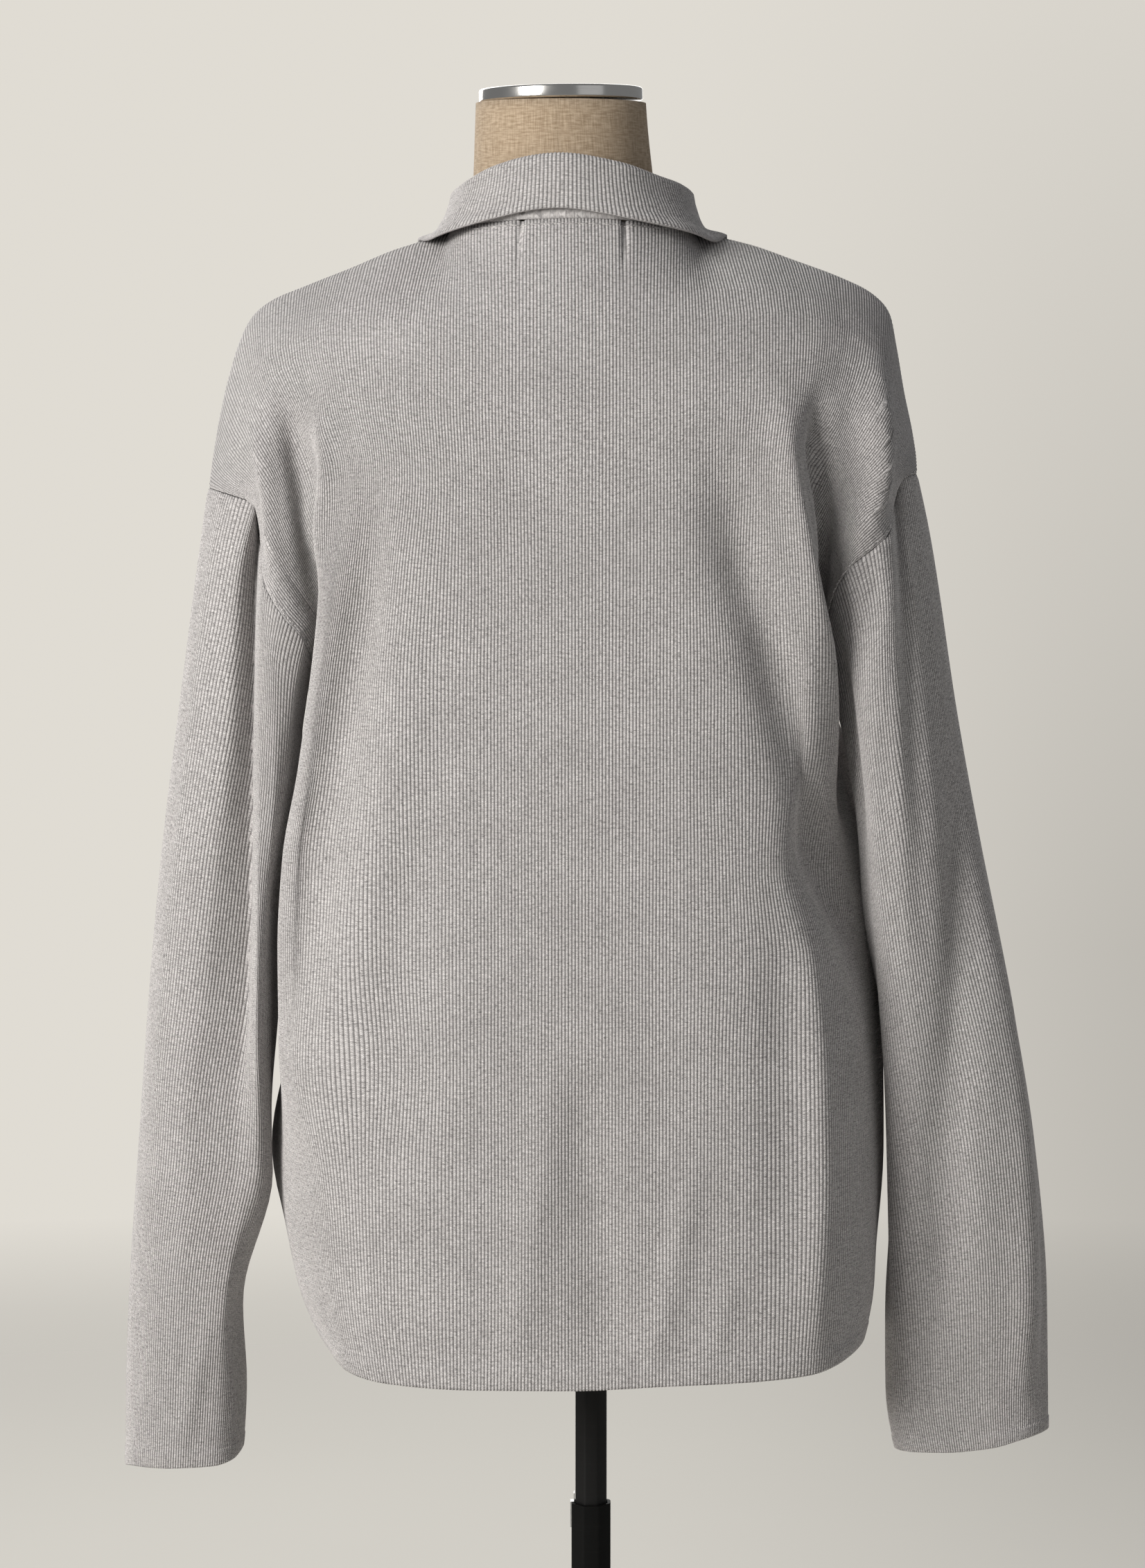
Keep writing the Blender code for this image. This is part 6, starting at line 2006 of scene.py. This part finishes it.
@dataclass
class Studio:
    """Pale floor and air, soft lights and the camera at the photo's place."""

    reach: float = 6.0
    floor_tone: Row = (0.60, 0.58, 0.535, 1.0)
    paper_tone: Row = (0.745, 0.714, 0.654, 1.0)
    lamps: tuple[Lamp, ...] = (
        Lamp("key", (2.2, 2.3, 2.1), 1.5, 134.0, (1.0, 0.985, 0.96)),
        Lamp("fill", (-2.2, 2.4, 1.6), 2.2, 5.0, (0.97, 0.98, 1.0)),
        Lamp("front", (0.6, -2.6, 2.3), 2.4, 60.0, (1.0, 0.99, 0.97)),
    )
    air: float = 0.25
    eye: Row = (0.0118, 2.90, 1.3100)
    pitch: float = 85.1
    lens: float = 106.15

    def floor(self) -> Object:
        """Pale floor round the foot plate.

        Returns:
            The object.
        """
        line = np.linspace(-self.reach, self.reach, 9)
        points = np.array([[(x, y, 0.0) for x in line] for y in line]).reshape(-1, 3)
        faces = quads_of(9, 9, False)
        obj = fast_mesh("studio_floor", points, [faces], [points[faces][:, :, :2]], "floor")
        obj.data.materials.append(PaperFinish(self.floor_tone).material("studio_paper"))
        return obj

    def backdrop(self) -> None:
        """Even air all round, seen as pale paper with painted shade that makes it darker low on the right.
        """
        world = bpy.data.worlds.new("studio_air")
        bpy.context.scene.world = world
        s = Shader(world)
        lit = s.tree.nodes["Background"]
        s.put(lit.inputs[0], (0.97, 0.985, 1.0, 1.0))
        s.put(lit.inputs[1], self.air)
        way = s.node("SeparateXYZ", i0=s.node("TexCoord").outputs["Generated"]).outputs
        # Painted shade on the backdrop that the camera sees: darker on the right, most of all low down.
        low = s.spread(way["Z"], -0.12, 0.09, 0.66, 0.92)
        side = s.node("MapRange", i0=way["X"], i1=-0.15, i2=0.01, i3=low, i4=1.0)
        side.interpolation_type = "SMOOTHSTEP"
        seen = s.node("Background", Color=self.paper_tone, Strength=side.outputs[0])
        camera = s.node("LightPath").outputs["Is Camera Ray"]
        mix = s.node("MixShader", i0=camera, i1=lit.outputs[0], i2=seen.outputs[0])
        s.put(s.tree.nodes["World Output"].inputs[0], mix.outputs[0])

    def build(self) -> None:
        """Build the studio and set the scene's camera."""
        self.floor()
        self.backdrop()
        for lamp in self.lamps:
            lamp.build()
        bpy.context.scene.view_settings.view_transform = "Standard"
        camera = bpy.data.cameras.new("camera")
        camera.lens, camera.sensor_width = self.lens, 36.0
        obj = linked("camera", camera)
        obj.location = self.eye
        obj.rotation_euler = (math.radians(self.pitch), 0.0, math.pi)
        bpy.context.scene.camera = obj


# ---------------------------------------------------------------- the whole

@dataclass
class Cardigan:
    """The knitted pieces, their sewing and the buttons."""

    body: str = "dressed_form"
    button_heights: Row = (0.738, 0.852, 0.966, 1.080, 1.194, 1.308)
    chain_height: float = 249.0

    def back(self) -> Panel:
        """The back panel.

        Returns:
            The panel.
        """
        shoulders = (-1.0, -NECK_S, mirrored(SHOULDER_RIGHT)), (NECK_S, 1.0, SHOULDER_LEFT)
        return Panel(
            "back", 292, sections=BACK_SECTIONS,
            edges=((1.0, ARMHOLE_BACK_LEFT), (-1.0, ARMHOLE_BACK_RIGHT)),
            top=(*shoulders, (-NECK_S + 1e-6, NECK_S - 1e-6, NECKLINE_BACK)),
            first=-1.0, sewn=(-1.0, 1.0), creases=BACK_CREASES, puckers=NECK_PUCKERS, seed=3)

    def front(self, side: int) -> Panel:
        """A front panel.

        Args:
            side: 1 for the wearer's left, -1 for the right.

        Returns:
            The panel.
        """
        left = side > 0
        return Panel(
            "front_left" if left else "front_right", 139,
            sections=FRONT_LEFT_SECTIONS if left else FRONT_RIGHT_SECTIONS,
            edges=((1.0, ARMHOLE_FRONT_LEFT if left else ARMHOLE_FRONT_RIGHT),),
            top=((0.0, NECK_S - 1e-6, NECKLINE_FRONT_LEFT if left else NECKLINE_FRONT_RIGHT),
                 (NECK_S, 1.0, SHOULDER_LEFT if left else SHOULDER_RIGHT)),
            sewn=(0.0, 1.0), flat=(0.30, 0.678), area=0.18, creases=FRONT_CREASES, seed=7 if left else 8)

    def sleeve(self, side: int) -> Sleeve:
        """A sleeve.

        Args:
            side: 1 for the wearer's left, -1 for the right.

        Returns:
            The sleeve.
        """
        left = side > 0
        return Sleeve(
            "sleeve_left" if left else "sleeve_right", 180,
            back=ARMHOLE_BACK_LEFT if left else ARMHOLE_BACK_RIGHT,
            front=ARMHOLE_FRONT_LEFT if left else ARMHOLE_FRONT_RIGHT,
            rings=SLEEVE_LEFT_RINGS if left else SLEEVE_RIGHT_RINGS,
            creases=SLEEVE_LEFT_CREASES if left else SLEEVE_RIGHT_CREASES, seed=11 if left else 12)

    def panels_tree(self, panels: list[Panel], form: BVHTree) -> BVHTree:
        """Search tree of the shoulders' outer faces, for the collar to lie on.

        Args:
            panels: The back and the fronts.
            form: Search tree of the dress form.

        Returns:
            The tree.
        """
        grids = []
        for panel in panels:
            grid, normal = panel.shaped(form)
            keep = grid[:, :, 2].max(axis=1) > 1.30
            grids.append((grid[keep][:, ::4], normal[keep][:, ::4]))
        return surface_tree(grids)

    def build(self, form: DressForm) -> None:
        """Build, dress and place every piece of the garment.

        Args:
            form: The dress form it hangs on.
        """
        tree = form.tree()
        rib = KnitFinish().material("marl_rib")
        band = KnitFinish().material("marl_band_rib", Stitch.BAND)
        panels = [self.back(), self.front(1), self.front(-1)]
        pieces: list[Panel | Sleeve] = [*panels, self.sleeve(1), self.sleeve(-1)]
        for piece in pieces:
            obj = piece.build(tree) if isinstance(piece, Panel) else piece.build()
            settle(obj, rib, self.body, piece.node)
        collar = Collar("collar", 208, wave=0.25, wave_size=50.0, seed=21)
        settle(collar.build(self.panels_tree(panels, tree)), rib, self.body, "collar")
        for side, node in ((1, "band_left"), (-1, "band_right")):
            strip = ButtonBand(node, 16, wave=0.2, seed=30 + side, side=side)
            settle(strip.build(), band, self.body, node)
        self.sew(panels, tree, band)
        self.fasten()

    def sew(self, panels: list[Panel], tree: BVHTree, finish: Material) -> None:
        """Add the linking stitches under the collar and round the armholes.

        Args:
            panels: The back and the fronts.
            tree: Search tree of the dress form.
            finish: The stitches' finish.
        """
        grid, normal = panels[0].shaped(tree)
        s, v = panels[0].s, panels[0].v
        row = int(np.argmin(np.abs(v - self.chain_height)))
        span = np.abs(s) < 0.2
        runs = [("neck_chain", grid[row, span], normal[row, span])]
        upper = v > 4.0
        for name, end in (("armhole_chain_left", 1.0), ("armhole_chain_right", -1.0)):
            column = int(np.argmin(np.abs(s - end * 0.992)))
            runs.append((name, grid[upper, column], normal[upper, column]))
        for name, path, up in runs:
            settle(StitchRun(name).build(path, up), finish, self.body)

    def fasten(self) -> None:
        """Add the buttons and their threads."""
        finish = ButtonFinish().material("button_grain")
        yarn = MetalFinish((0.30, 0.29, 0.285, 1.0), (0.36, 0.35, 0.345, 1.0), 0.85, 0.0).material("thread")
        for number, z in enumerate(self.button_heights, start=1):
            button = Button(number, z)
            settle(button.build(), finish, self.body, f"button_{number}")
            settle(button.thread(), yarn, self.body)


def dress_stand(form: DressForm) -> None:
    """Build and place the dress form, its cap and its stand.

    Args:
        form: The dress form.
    """
    linen = LinenFinish().material("natural_linen")
    black, dark, chrome, steel = (
        MetalFinish(colour, worn, *settings).material(name) for name, colour, worn, *settings in (
            # colour, colour of the marks, roughness, metallic, specular
            ("black_lacquer", (0.005, 0.0048, 0.0046, 1.0), (0.012, 0.012, 0.011, 1.0), 0.5, 0.0, 0.22),
            ("matt_lacquer", (0.003, 0.003, 0.0028, 1.0), (0.008, 0.008, 0.007, 1.0), 0.55, 0.0, 0.1),
            ("polished_chrome", (0.60, 0.585, 0.56, 1.0), (0.40, 0.38, 0.36, 1.0), 0.16, 1.0),
            ("spring_steel", (0.52, 0.52, 0.51, 1.0), (0.35, 0.35, 0.34, 1.0), 0.28, 1.0),
        ))
    stand = Stand()
    for body, slot, node, obj, finish in (
            ("dressed_form", "linen", "form", form.build(), linen),
            ("dressed_form", "chrome", "neck_cap", NeckCap().build(), chrome),
            ("dressed_form", "black_metal", "pole_upper", stand.upper(), black),
            ("stand", "black_metal", "pole_lower", stand.lower(), dark),
            ("stand", "steel", "pole_catch", stand.catch(), steel),
            ("stand", "black_metal", "base", stand.foot(), black)):
        settle(obj, finish, body, node)


def main() -> None:
    """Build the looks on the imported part."""
    logging.basicConfig(level=logging.INFO, format="%(name)s: %(message)s")
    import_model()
    form = DressForm()
    dress_stand(form)
    Cardigan().build(form)
    Studio().build()


if __name__ == "__main__":
    main()
